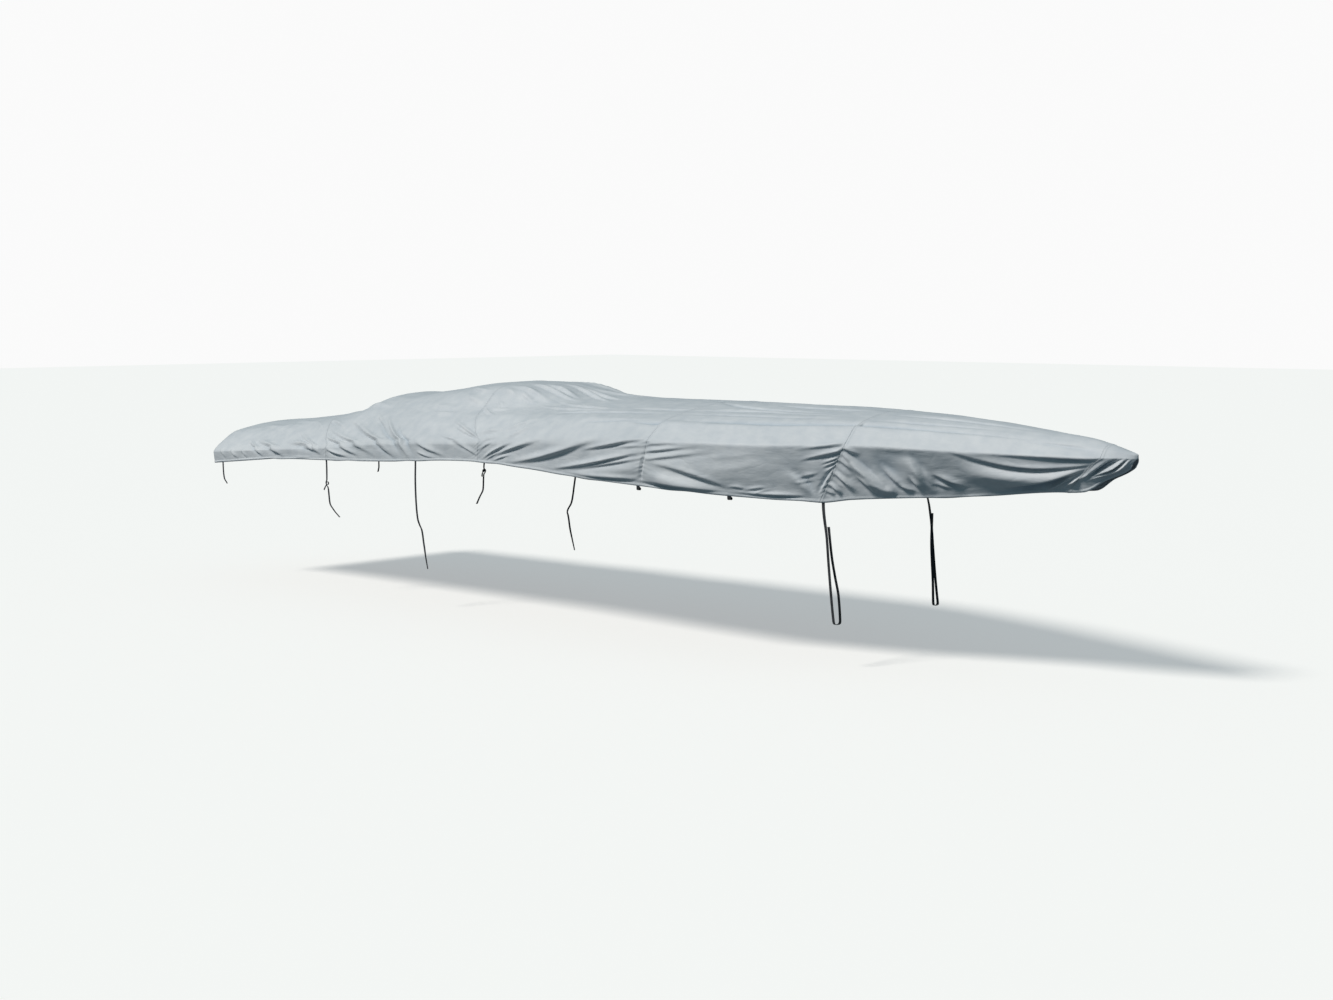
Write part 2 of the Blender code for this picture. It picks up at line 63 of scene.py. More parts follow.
SKY_THROWN, SKY_SEEN = (0.085, 0.160, 0.195), (0.96, 0.96, 0.96)

camera_data = bpy.data.cameras.new("camera")
camera_data.lens = LENS
camera_data.sensor_width = SENSOR_WIDTH
camera_data.clip_end = 4 * FLOOR_SPAN
camera = bpy.data.objects.new("camera", camera_data)
camera.location = CAMERA_PLACE
camera.rotation_euler = (math.radians(90 - CAMERA_PITCH), 0, math.radians(CAMERA_HEADING))
bpy.context.scene.collection.objects.link(camera)
bpy.context.scene.camera = camera
bpy.context.scene.view_settings.view_transform = "Standard"

# The main light makes the shoulder brightest, the crown a little darker and the skirt darker still. The sky
# and the floor only fill in the shade.
key_data = bpy.data.lights.new("key", "SUN")
key_data.energy = KEY_STRENGTH
key_data.angle = math.radians(KEY_SPREAD)
key_data.color = KEY_COLOUR
key = bpy.data.objects.new("key", key_data)
key.rotation_euler = Vector(KEY_HEADING).to_track_quat("-Z", "Y").to_euler()
bpy.context.scene.collection.objects.link(key)


def thrown_or_seen(tree, thrown, seen):
    """Two colours by the kind of ray: seen where it comes from the camera, thrown where it doesn't."""
    node = tree.nodes.new("ShaderNodeMix")
    node.data_type = "RGBA"
    node.inputs[6].default_value = (*thrown, 1)
    node.inputs[7].default_value = (*seen, 1)
    tree.links.new(tree.nodes.new("ShaderNodeLightPath").outputs["Is Camera Ray"], node.inputs["Factor"])
    return node.outputs[2]


def plain_floor():
    """A matt square under the whole object. It throws less onto the object than the picture shows of it."""
    half = FLOOR_SPAN
    corners = [(x, y, FLOOR_HEIGHT) for x, y in ((-half, -half), (half, -half), (half, half), (-half, half))]
    mesh = bpy.data.meshes.new("floor")
    mesh.from_pydata(corners, [], [(0, 1, 2, 3)])
    matt = bpy.data.materials.new("pale_floor")
    matt.use_nodes = True
    tree = matt.node_tree
    shader = tree.nodes["Principled BSDF"]
    shader.inputs["Roughness"].default_value = 0.9
    shader.inputs["Specular IOR Level"].default_value = 0.1
    tree.links.new(thrown_or_seen(tree, FLOOR_THROWN, FLOOR_SEEN), shader.inputs["Base Color"])
    tree.links.new(thrown_or_seen(tree, GLOW_THROWN, GLOW_SEEN), shader.inputs["Emission Color"])
    shader.inputs["Emission Strength"].default_value = 1.0
    mesh.materials.append(matt)
    floor = bpy.data.objects.new("floor", mesh)
    bpy.context.scene.collection.objects.link(floor)
    return floor


plain_floor()

world = bpy.data.worlds.new("studio")
world.use_nodes = True
sky = world.node_tree.nodes["Background"]
sky.inputs["Strength"].default_value = 1.0
world.node_tree.links.new(thrown_or_seen(world.node_tree, SKY_THROWN, SKY_SEEN), sky.inputs["Color"])
bpy.context.scene.world = world

# ------------------------------------------------------------------ Stern panel
# The first of six panels of coated polyester, cut to one form and felled together at cross seams. It lies
# level from side to side, and its short skirt hangs to a rolled hem.

# The form that all six panels are cut to, in metres from the stern and above the ground. A share across is 0
# on the ridge, BREAK at the crown's edge, SHEER at the bend and 1 at the hem. The bends are round over ROUND
# of a share aft of the first place in ROUND_UNTIL, and over SHARP of it forward of the second.
FORWARD = 5.90
HEIGHT = 2.318
BREAK = 0.58
SHEER = 0.72
SHARP = 0.012
ROUND = 0.048
ROUND_UNTIL = (5.6, 7.6)
CROWN = (0.0, 0.15, 0.30, 0.45, BREAK)
CLOTH = 0.0016
NUDGE = 0.001
LEAN_REACH = 0.45


def table(kind, *rows):
    """Rows of numbers, each under the names of one kind of row."""
    return tuple(kind(*row) for row in rows)


# Sheer, ridge and hem are heights. The crown's edge lies break_in inside the bend and break_up above it, and
# the hem lies tuck inside the bend.
Section = namedtuple("Section", "x half_width sheer break_in break_up ridge tuck hem")
SECTIONS = table(
    Section,
    (0.00, 1.200, 1.543, 0.275, 0.205, 1.870, 0.020, 1.383),
    (0.60, 1.202, 1.580, 0.300, 0.230, 1.915, 0.018, 1.444),
    (1.30, 1.204, 1.630, 0.310, 0.255, 1.990, 0.015, 1.500),
    (2.28, 1.206, 1.700, 0.290, 0.265, 2.125, 0.012, 1.535),
    (3.30, 1.216, 1.800, 0.260, 0.250, 2.230, 0.010, 1.582),
    (4.95, 1.245, 1.885, 0.225, 0.230, 2.310, 0.010, 1.662),
    (5.70, 1.256, 1.930, 0.215, 0.220, 2.325, 0.015, 1.640),
    (6.50, 1.266, 1.975, 0.205, 0.200, 2.329, 0.028, 1.587),
    (7.39, 1.270, 2.008, 0.200, 0.160, 2.330, 0.040, 1.556),
    (8.45, 1.100, 2.003, 0.180, 0.170, 2.330, 0.085, 1.519),
    (9.10, 0.920, 2.020, 0.160, 0.165, 2.322, 0.115, 1.504),
    (9.38, 0.830, 2.028, 0.150, 0.160, 2.313, 0.130, 1.536),
    (10.40, 0.530, 2.006, 0.125, 0.140, 2.255, 0.200, 1.607),
    (11.10, 0.310, 1.995, 0.090, 0.110, 2.177, 0.170, 1.682),
    (11.36, 0.235, 1.995, 0.080, 0.090, 2.147, 0.130, 1.697),
    (11.55, 0.175, 1.996, 0.060, 0.070, 2.105, 0.122, 1.805),
    (11.70, 0.095, 1.996, 0.030, 0.045, 2.062, 0.072, 1.880),
    (11.78, 0.035, 1.996, 0.010, 0.025, 2.038, 0.020, 1.935),
    (11.80, 0.000, 1.996, 0.000, 0.020, 2.030, 0.000, 1.955),
)
# The hump adds its height out to its half width, and the flank says how gently it ends there.
Hump = namedtuple("Hump", "x height half_width flank")
HUMP = table(
    Hump,
    (1.50, 0.000, 0.80, 0.50),
    (2.05, 0.015, 0.80, 0.45),
    (2.30, 0.055, 0.80, 0.40),
    (2.60, 0.128, 0.80, 0.35),
    (2.95, 0.098, 0.80, 0.32),
    (3.50, 0.120, 0.76, 0.30),
    (4.05, 0.160, 0.72, 0.26),
    (4.50, 0.168, 0.68, 0.18),
    (4.90, 0.148, 0.64, 0.16),
    (5.20, 0.102, 0.60, 0.18),
    (5.46, 0.044, 0.56, 0.22),
    (5.66, 0.010, 0.52, 0.25),
    (5.80, 0.000, 0.50, 0.25),
)
HUMP_STEEPNESS = 0.28
HUMP_FADE = 0.10
# How far forward of the bend the ridge and the hem of a station lie. Below nought they lie aft of it.
Lean = namedtuple("Lean", "x ridge hem")
LEANS = table(
    Lean,
    (0.00, 0.00, 0.000),
    (2.28, -0.45, 0.000),
    (4.95, -0.45, -0.020),
    (7.39, 0.00, -0.130),
    (9.38, 0.00, -0.285),
    (11.20, 0.00, -0.330),
    (11.55, 0.00, -0.330),
    (11.80, 0.00, -0.050),
)


def smooth(x, xs, ys):
    """Monotone cubic through (xs, ys): a point's slope is the weighted harmonic mean of its neighbours'."""
    xs = np.asarray(xs, float)
    ys = np.asarray(ys, float)
    step = np.diff(xs)
    rise = np.diff(ys) / step
    same_way = rise[:-1] * rise[1:] > 0
    before = step[:-1] + 2 * step[1:]
    after = 2 * step[:-1] + step[1:]
    low = np.where(same_way, rise[:-1], 1)
    high = np.where(same_way, rise[1:], 1)
    harmonic = (before + after) / (before / low + after / high)
    slope = np.concatenate([rise[:1], np.where(same_way, harmonic, 0), rise[-1:]])
    x = np.clip(x, xs[0], xs[-1])
    i = np.clip(np.searchsorted(xs, x, side="right") - 1, 0, len(xs) - 2)
    t = (x - xs[i]) / step[i]
    start = (1 + 2 * t) * (1 - t) ** 2 * ys[i] + t * (1 - t) ** 2 * step[i] * slope[i]
    end = t * t * (3 - 2 * t) * ys[i + 1] + t * t * (t - 1) * step[i] * slope[i + 1]
    return start + end


def column(table, name, x):
    """A column of a table that has an x column, read smoothly at x."""
    return smooth(x, [row.x for row in table], [getattr(row, name) for row in table])


def softened(share, knots, values, reach):
    """Straight runs between the knots, averaged over a reach on both sides so that the bends are round."""
    total = 0
    offsets = np.linspace(-1, 1, 9)
    for offset in offsets:
        at = np.minimum(np.abs(share + offset * reach), 1)
        for i, knot in enumerate(knots):
            total = total + np.interp(at, knots, [float(k == knot) for k in knots]) * values[i]
    return total / len(offsets)


def skirt_share(share):
    """0 at the bend and above it, 1 at the hem."""
    return np.clip((share - SHEER) / (1 - SHEER), 0, 1)


def smooth_form(x, share, side):
    """The form without folds: the softened runs of the section at x, with the hump added to their height."""
    value = {name: column(SECTIONS, name, x) for name in Section._fields[1:]}
    break_half = value["half_width"] - value["break_in"]
    hem_half = value["half_width"] - value["tuck"]
    crown = value["ridge"] - value["sheer"] - value["break_up"]
    knots = CROWN + (SHEER, 1.0)
    across = [break_half * k / BREAK for k in CROWN] + [value["half_width"], hem_half]
    height = [value["ridge"] - crown * (k / BREAK) ** 2 for k in CROWN] + [value["sheer"], value["hem"]]
    reach = np.interp(x, ROUND_UNTIL, (ROUND, SHARP))
    y = softened(share, knots, across, reach)
    z = softened(share, knots, height, reach)
    y = np.where(share < reach, break_half * share / BREAK, y)
    y = np.where(share > 1 - reach, value["half_width"] - value["tuck"] * skirt_share(share), y)
    z = np.where(share > 1 - reach, value["sheer"] + (value["hem"] - value["sheer"]) * skirt_share(share), z)
    steep = HUMP_STEEPNESS * column(HUMP, "flank", x)
    half = column(HUMP, "half_width", x)
    flank = (1 + np.exp(-half / steep)) / (1 + np.exp((y - half) / steep))
    z = z + column(HUMP, "height", x) * flank * np.clip((SHEER - share) / HUMP_FADE, 0, 1)
    return np.stack([x, side * y, z], axis=-1)


def fitted_form(station, across):
    """Place, outward direction, x and drop below the bend, at a station (x at the bend) and signed share."""
    station, across = np.broadcast_arrays(np.asarray(station, float), np.asarray(across, float))
    share = np.abs(across)
    side = np.where(across < 0, -1.0, 1.0)
    end = SECTIONS[-1].x
    inward = np.minimum((1 - np.clip(share / SHEER, 0, 1)) / LEAN_REACH, 1)
    lean = column(LEANS, "ridge", station) * (1 - (1 - inward) ** 2)
    x = np.clip(station + lean + column(LEANS, "hem", station) * skirt_share(share), 0, end)
    place = smooth_form(x, share, side)
    fore, aft = np.clip(x + NUDGE, 0, end), np.clip(x - NUDGE, 0, end)
    ahead = smooth_form(fore, share, side) - smooth_form(aft, share, side)
    lower, upper = np.clip(share + NUDGE, 0, 1), np.clip(share - NUDGE, 0, 1)
    around = smooth_form(x, lower, side) - smooth_form(x, upper, side)
    outward = np.cross(ahead, around) * side[..., None]
    outward = outward / np.maximum(np.linalg.norm(outward, axis=-1, keepdims=True), 1e-12)
    skirt = column(SECTIONS, "sheer", x) - column(SECTIONS, "hem", x)
    top = column(SECTIONS, "half_width", x) + 0.5 * column(SECTIONS, "break_up", x)
    drop = np.where(share > SHEER, skirt_share(share) * skirt, (share / SHEER - 1) * top)
    return place, outward, x, drop


# A crease runs through three points, given by their station and their drop below the bend. Swell is how far
# its back stands out, and step how far the cloth falls in across its line. Wide is its half width at its two
# ends, and peak the share of its length at which it is strongest. The panels' rows of creases are written
# with the stations in metres and the drops, swell, step and widths in millimetres.
Crease = namedtuple("Crease", "x0 drop0 x1 drop1 x2 drop2 swell step wide0 wide1 peak", defaults=(0.5,))
CREASE_UNITS = (1, 1000, 1, 1000, 1, 1000, 1000, 1000, 1000, 1000, 1)
CREASE_SAMPLES = 25
STEP_WIDTH = 0.36
STEP_LEAST = 0.012
FAR_SHIFT = 0.06
FAR_STRENGTH = 0.85
FAR_UNEVEN = 0.25


def creases(*rows):
    """The creases of a panel: each value of a row divided by its units to the metre."""
    return [Crease(*(value / units for value, units in zip(row, CREASE_UNITS))) for row in rows]


def creased(station, drop, lines):
    """How far creases push the cloth out: each is a bell of its swell less a sharp step under its line."""
    lift = np.zeros_like(station)
    t = np.linspace(0, 1, CREASE_SAMPLES)
    for c in lines:
        path_x = c.x0 * (1 - t) * (1 - 2 * t) + 4 * c.x1 * t * (1 - t) + c.x2 * t * (2 * t - 1)
        path_drop = c.drop0 * (1 - t) * (1 - 2 * t) + 4 * c.drop1 * t * (1 - t) + c.drop2 * t * (2 * t - 1)
        reach = 3 * max(c.wide0, c.wide1)
        near = (station > path_x.min() - reach) & (station < path_x.max() + reach)
        near &= (drop > path_drop.min() - reach) & (drop < path_drop.max() + reach)
        if not near.any():
            continue
        run_x, run_drop = np.diff(path_x), np.diff(path_drop)
        length = np.hypot(run_x, run_drop)
        off_x = station[near][:, None] - path_x[:-1]
        off_drop = drop[near][:, None] - path_drop[:-1]
        along = np.clip((off_x * run_x + off_drop * run_drop) / length**2, 0, 1)
        gap = np.hypot(off_x - along * run_x, off_drop - along * run_drop)
        nearest = gap.argmin(axis=1)[:, None]
        aside = np.take_along_axis(off_drop * run_x - off_x * run_drop, nearest, 1)[:, 0]
        gap = np.take_along_axis(gap, nearest, 1)[:, 0] * np.sign(aside)
        share = (nearest[:, 0] + np.take_along_axis(along, nearest, 1)[:, 0]) / (CREASE_SAMPLES - 1)
        from_ends = np.minimum(share / c.peak, (1 - share) / (1 - c.peak))
        strength = np.sin(np.pi / 2 * np.clip(from_ends, 0, 1)) ** 2
        wide = c.wide0 + (c.wide1 - c.wide0) * share
        bell = np.exp(-((gap / wide) ** 2))
        fall = c.step * np.tanh(gap / np.maximum(STEP_WIDTH * wide, STEP_LEAST))
        lift[near] += strength * bell * (c.swell - fall)
    return lift


def far_side(lines):
    """The unseen side's creases: the near side's, each a little aft or forward and stronger or weaker."""
    moved = []
    for i, c in enumerate(lines):
        shift = FAR_SHIFT * math.sin(5.0 * i + 1.0)
        strength = FAR_STRENGTH + FAR_UNEVEN * math.sin(3.0 * i)
        places = {"x0": c.x0 + shift, "x1": c.x1 + 1.5 * shift, "x2": c.x2 + shift}
        moved.append(c._replace(**places, swell=c.swell * strength, step=c.step * strength))
    return moved


# Gathers along a cross seam: small ridges that leave it at a slant on both sides and fade. Drops give where
# they start and end, pitch is their spacing along the seam, and the slants how far they drop for each metre
# away from it on its aft and on its fore side.
Gather = namedtuple("Gather", "station drop0 drop1 pitch height reach slant_aft slant_fore")
GATHER_SWAY = 1.1
GATHER_SWAY_TURNS = 23.0
GATHER_MEAN = 0.7
GATHER_UNEVEN = 0.3
GATHER_BEAT = 0.37


def gathered(station, drop, gathers):
    """How far gathers push the cloth out: uneven waves along the seam that fade with the distance from it."""
    lift = np.zeros_like(drop)
    for g in gathers:
        away = np.abs(station - g.station)
        along = drop - np.where(station < g.station, g.slant_aft, g.slant_fore) * away
        phase = 2 * np.pi * along / g.pitch + GATHER_SWAY * np.sin(GATHER_SWAY_TURNS * along + g.station)
        ends = np.clip((drop - g.drop0) / g.pitch, 0, 1) * np.clip((g.drop1 - drop) / g.pitch, 0, 1)
        uneven = GATHER_MEAN + GATHER_UNEVEN * np.sin(GATHER_BEAT * phase + 1)
        lift += g.height * np.sin(phase) * uneven * np.exp(-away / g.reach) * ends
    return lift


# A hem is a roll of cloth that stands out, uneven along its run, and rises and falls a little. At a cross
# seam the edges are felled and stand out by their layers. Creases keep off both, but for a least share.
HEM_ROLL = 0.024
HEM_SWELL = 0.007
HEM_UNEVEN = 0.3
HEM_UNEVEN_WAVE = (9.1, 2.0, 3.7)
HEM_RISE = 0.003
HEM_RISE_WAVE = (7.3, 1.7, 4.9)
SEAM_FOLD = 0.022
SEAM_FOLD_EDGE = 0.003
SEAM_SWELL = 0.0022
SEAM_GAP = 0.0001
SEAM_SHARE = 0.3
SHOULDER_CELL = 0.0079
FAR_FROM_SEAM = 9.0
FINENESS = 0.9
FINE_REACH = 0.35
CREASE_KEEP_OFF = 0.03
HEM_KEEP_OFF = 0.040
HEM_SHARE = 0.15
CRUMPLE = 0.0010
Wave = namedtuple("Wave", "along across phase height")
WAVES = table(
    Wave,
    (3.1, 7.9, 0.3, 1.0),
    (-5.3, 9.7, 1.9, 0.8),
    (8.3, 14.9, 4.1, 0.6),
    (-11.7, 19.3, 2.2, 0.5),
    (17.1, 27.7, 5.0, 0.3),
)


def crumpled(x, drop):
    """Low waves left from packing: a sum of sines across the cloth, each at its own angle and pitch."""
    phases = [w.along * x + w.across * drop + w.phase + np.sin(1.3 * x + w.phase) for w in WAVES]
    return CRUMPLE * sum(w.height * np.sin(phase) for w, phase in zip(WAVES, phases))


def swaying_wave(x, turns, sway, sway_turns):
    """A sine along x whose phase sways by another sine."""
    return np.sin(turns * x + sway * np.sin(sway_turns * x))


def half_round(to_hem):
    """The hem's roll in section: half a circle over HEM_ROLL, from 0 to 1."""
    return np.sqrt(np.clip(1 - ((to_hem - HEM_ROLL / 2) / (HEM_ROLL / 2)) ** 2, 0, 1))


def spaced(start, stop, cell):
    """Even steps from start to stop, none longer than cell."""
    return np.linspace(start, stop, int(np.ceil((stop - start) / cell)) + 1)


def fraction(density):
    """The running total of a density, from 0 to 1."""
    total = np.cumsum(density) - density[0]
    return total / total[-1]


def both_sides(shares):
    """Signed shares from the near hem over the ridge to the far hem."""
    return np.concatenate([-shares[:0:-1], shares])


def shares_across(crown, skirt):
    """Signed shares of a panel's grid, with cells of one share on the crown and of another on the skirt."""
    above = [spaced(0, BREAK, crown)[:-1], spaced(BREAK, SHEER, SHOULDER_CELL)[:-1]]
    return both_sides(np.concatenate([*above, spaced(SHEER, 1, skirt)]))


def distances(points, axis):
    """Length along each row or column of a grid of points, from its first point."""
    steps = np.linalg.norm(np.diff(points, axis=axis), axis=-1)
    pad = [(0, 0), (0, 0)]
    pad[axis] = (1, 0)
    return np.pad(np.cumsum(steps, axis=axis), pad)


def measured_piece(name, mesh, measure):
    """A smooth piece from a mesh, with a UV map that holds each point's measure in metres."""
    corners = np.empty(len(mesh.loops), np.int32)
    mesh.loops.foreach_get("vertex_index", corners)
    mesh.uv_layers.new(name="cloth").data.foreach_set("uv", measure.reshape(-1, 2)[corners].reshape(-1))
    mesh.polygons.foreach_set("use_smooth", np.ones(len(mesh.polygons), bool))
    piece = bpy.data.objects.new(name, mesh)
    bpy.context.scene.collection.objects.link(piece)
    return piece


def cloth_object(name, points, to_hem, to_seam, rise):
    """A grid of points as a cloth mesh: each cell is cut along its folds, and the UV map is in metres."""
    rows, columns = points.shape[:2]
    index = np.arange(rows * columns).reshape(rows, columns)
    a, b, c, d = index[:-1, :-1], index[1:, :-1], index[1:, 1:], index[:-1, 1:]
    rise = np.broadcast_to(rise, index.shape)
    first = (np.abs(rise.flat[a] - rise.flat[c]) <= np.abs(rise.flat[b] - rise.flat[d]))[..., None]
    one_way = np.stack([a, b, c, a, c, d], axis=-1)
    other_way = np.stack([a, b, d, b, c, d], axis=-1)
    faces = np.where(first, one_way, other_way).reshape(-1, 3)
    mesh = bpy.data.meshes.new(name)
    mesh.vertices.add(rows * columns)
    mesh.vertices.foreach_set("co", points.reshape(-1))
    mesh.loops.add(faces.size)
    mesh.loops.foreach_set("vertex_index", faces.reshape(-1))
    mesh.polygons.add(len(faces))
    mesh.polygons.foreach_set("loop_start", np.arange(len(faces)) * 3)
    mesh.update(calc_edges=True)
    piece = measured_piece(name, mesh, np.stack([distances(points, 1), distances(points, 0)], axis=-1))
    for label, values in (("to_hem", to_hem), ("to_seam", to_seam), ("rise", rise)):
        values = np.broadcast_to(values, index.shape).reshape(-1)
        mesh.attributes.new(label, "FLOAT", "POINT").data.foreach_set("value", values)
    return piece


def cloth_panel(name, aft, fore, cells, lines, gathers):
    """A panel between two seams: the form, moved out by its hem, seams, creases, gathers and waves."""
    along, crown, skirt = cells
    across = shares_across(crown, skirt)
    last = fore >= SECTIONS[-1].x
    start, stop = aft + SEAM_GAP / 2, fore - (0 if last else SEAM_GAP / 2)
    station = spaced(start, stop, along)
    if not last and aft > 0:
        nearness = np.exp(-(fore - station) / FINE_REACH) + np.exp(-(station - aft) / FINE_REACH)
        station = np.interp(station, start + (stop - start) * fraction(1 + FINENESS * nearness), station)
    station = station[:, None]
    place, outward, x, drop = fitted_form(station, across[None, :])
    station = np.broadcast_to(station, x.shape)
    share = np.abs(across)[None, :]
    to_hem = np.where(share > SHEER, (1 - share) / (1 - SHEER), 1.0)
    to_hem = to_hem * (column(SECTIONS, "sheer", x) - column(SECTIONS, "hem", x))
    to_aft = station - aft if aft > 0 else FAR_FROM_SEAM
    to_fore = FAR_FROM_SEAM if last else fore - station
    to_seam = np.minimum(to_aft, to_fore)
    drop = np.broadcast_to(drop, x.shape)
    folds = np.where(across < 0, creased(station, drop, lines), creased(station, drop, far_side(lines)))
    folds = folds * np.clip(to_seam / CREASE_KEEP_OFF, SEAM_SHARE, 1)
    folds = folds + crumpled(x, drop) + gathered(station, drop, gathers)
    folds = folds * np.clip(to_hem / HEM_KEEP_OFF, HEM_SHARE, 1)
    fell = SEAM_SWELL * np.clip((SEAM_FOLD - to_seam) / SEAM_FOLD_EDGE, 0, 1)
    roll = HEM_SWELL * half_round(to_hem) * (1 + HEM_UNEVEN * swaying_wave(x, *HEM_UNEVEN_WAVE))
    points = place + outward * (folds + roll + fell)[..., None] - (FORWARD, 0.0, HEIGHT)
    points[..., 2] += HEM_RISE * swaying_wave(x, *HEM_RISE_WAVE) * np.exp(-to_hem / HEM_ROLL)
    return cloth_object(name, points, to_hem, to_seam, folds)


def add_thickness(piece, outward):
    """Gives a sheet its thickness on the inside; its outer faces look along outward."""
    mesh = piece.data
    facing = sum((face.normal * face.area for face in mesh.polygons), Vector())
    if facing.dot(Vector(outward)) < 0:
        mesh.flip_normals()
    shell = piece.modifiers.new("thickness", "SOLIDIFY")
    shell.thickness = CLOTH
    shell.offset = -1.0
    shell.use_rim = True


# The cloth's finish: a plain weave too fine to see from a step away, a little uneven in tone, with painted
# shade that makes the troughs of folds darker and bluer and the backs of folds a little lighter, and rows of
# stitches beside the hem and the seams.
CLOTH_TONES = (
    (0.3, (0.510, 0.530, 0.550, 1)),
    (0.5, (0.545, 0.562, 0.582, 1)),
    (0.7, (0.580, 0.594, 0.612, 1)),
)
MOTTLE_TONES = ((0.3, (0.93, 0.94, 0.95, 1)), (0.7, (1.05, 1.04, 1.03, 1)))
# Painted shade by fold depth: darker and bluer in the troughs, a little lighter on the backs of folds.
FOLD_SHADE_TONES = ((0.0, (0.62, 0.72, 0.80, 1)), (0.45, (1, 1, 1, 1)), (1.0, (1.06, 1.05, 1.04, 1)))
THREAD_TONE = (0.25, 0.28, 0.31, 1)
HEM_STITCHES = 0.026
SEAM_STITCHES = (0.005, 0.019)
STITCH_SHARE = 0.72
CLOTH_THREAD = 0.0011
FOLD_SHADE_GAIN = 12.0
WEAVE_BUMP = 0.06
MOTTLE_BUMP = 1.6
PLEAT_BUMP = 55.0
STITCH_BUMP = 0.5


def shader_group(name, inputs, outputs):
    """An empty shader node group with named sockets, given as (name, type, default)."""
    group = bpy.data.node_groups.new(name, "ShaderNodeTree")
    for label, kind, default in inputs:
        socket = group.interface.new_socket(label, in_out="INPUT", socket_type=kind)
        if default is not None:
            socket.default_value = default
    for label, kind in outputs:
        group.interface.new_socket(label, in_out="OUTPUT", socket_type=kind)
    return group, group.nodes.new("NodeGroupInput"), group.nodes.new("NodeGroupOutput")


def math_node(tree, operation, first, second=None, clamp=False):
    """A Math node fed by sockets or numbers; its output socket."""
    node = tree.nodes.new("ShaderNodeMath")
    node.operation = operation
    node.use_clamp = clamp
    for socket, value in zip(node.inputs, (first, second)):
        if isinstance(value, (int, float)):
            socket.default_value = value
        elif value is not None:
            tree.links.new(value, socket)
    return node.outputs[0]


def weave_group():
    """Threads over and under each other: a wave along times a wave across, at the thread pitch."""
    group, take, give = shader_group(
        "weave",
        [("UV", "NodeSocketVector", None), ("Pitch", "NodeSocketFloat", 0.001)],
        [("Height", "NodeSocketFloat")],
    )
    split = group.nodes.new("ShaderNodeSeparateXYZ")
    group.links.new(take.outputs["UV"], split.inputs[0])
    turns = math_node(group, "DIVIDE", math.pi, take.outputs["Pitch"])
    across = math_node(group, "SINE", math_node(group, "MULTIPLY", split.outputs[0], turns))
    along = math_node(group, "SINE", math_node(group, "MULTIPLY", split.outputs[1], turns))
    group.links.new(math_node(group, "MULTIPLY", across, along), give.inputs["Height"])
    return group


def stitch_group():
    """One row of stitches: 1 within half a thread of the row and where the run is in a stitch."""
    group, take, give = shader_group(
        "stitches",
        [
            ("Distance", "NodeSocketFloat", 1.0),
            ("Run", "NodeSocketFloat", 0.0),
            ("Row", "NodeSocketFloat", 0.005),
            ("Thread", "NodeSocketFloat", 0.0012),
            ("Length", "NodeSocketFloat", 0.005),
        ],
        [("Mask", "NodeSocketFloat")],
    )
    off = math_node(group, "SUBTRACT", take.outputs["Distance"], take.outputs["Row"])
    off = math_node(group, "ABSOLUTE", off)
    on_row = math_node(group, "LESS_THAN", off, math_node(group, "MULTIPLY", take.outputs["Thread"], 0.5))
    part = math_node(group, "FRACT", math_node(group, "DIVIDE", take.outputs["Run"], take.outputs["Length"]))
    in_stitch = math_node(group, "LESS_THAN", part, STITCH_SHARE)
    group.links.new(math_node(group, "MULTIPLY", on_row, in_stitch), give.inputs["Mask"])
    return group


WEAVE = weave_group()
STITCHES = stitch_group()


def place_group(tree, group, **values):
    """A group node in a material, its inputs set from numbers or sockets; its outputs."""
    node = tree.nodes.new("ShaderNodeGroup")
    node.node_tree = group
    for label, value in values.items():
        if isinstance(value, (int, float)):
            node.inputs[label].default_value = value
        else:
            tree.links.new(value, node.inputs[label])
    return node.outputs


def noise(tree, vector, scale, detail, stretch=(1, 1, 1)):
    """A noise value over a stretched vector."""
    mapping = tree.nodes.new("ShaderNodeMapping")
    mapping.inputs["Scale"].default_value = stretch
    tree.links.new(vector, mapping.inputs["Vector"])
    texture = tree.nodes.new("ShaderNodeTexNoise")
    texture.inputs["Scale"].default_value = scale
    texture.inputs["Detail"].default_value = detail
    tree.links.new(mapping.outputs[0], texture.inputs["Vector"])
    return texture.outputs["Fac"]


def ramp(tree, value, stops):
    """A colour ramp through (place, colour) stops."""
    node = tree.nodes.new("ShaderNodeValToRGB")
    node.color_ramp.elements[0].position, node.color_ramp.elements[0].color = stops[0]
    node.color_ramp.elements[1].position, node.color_ramp.elements[1].color = stops[-1]
    for place, colour in stops[1:-1]:
        node.color_ramp.elements.new(place).color = colour
    tree.links.new(value, node.inputs[0])
    return node.outputs["Color"]


def mixed(tree, blend, amount, first, second):
    """Two colours mixed; amount, first and second are sockets or values."""
    node = tree.nodes.new("ShaderNodeMix")
    node.data_type = "RGBA"
    node.blend_type = blend
    for socket, value in ((node.inputs["Factor"], amount), (node.inputs[6], first), (node.inputs[7], second)):
        if isinstance(value, bpy.types.NodeSocket):
            tree.links.new(value, socket)
        else:
            socket.default_value = value
    return node.outputs[2]


def attribute(tree, label):
    """A point attribute's value."""
    node = tree.nodes.new("ShaderNodeAttribute")
    node.attribute_name = label
    return node.outputs["Fac"]


def woven_material(name, settings):
    """A material with its shader's settings; also its tree, shader, UV socket and place on the object."""
    material = bpy.data.materials.new(name)
    material.use_nodes = True
    tree = material.node_tree
    shader = tree.nodes["Principled BSDF"]
    for label, value in settings.items():
        shader.inputs[label].default_value = value
    uv = tree.nodes.new("ShaderNodeUVMap")
    uv.uv_map = "cloth"
    return material, tree, shader, uv.outputs[0], tree.nodes.new("ShaderNodeTexCoord").outputs["Object"]


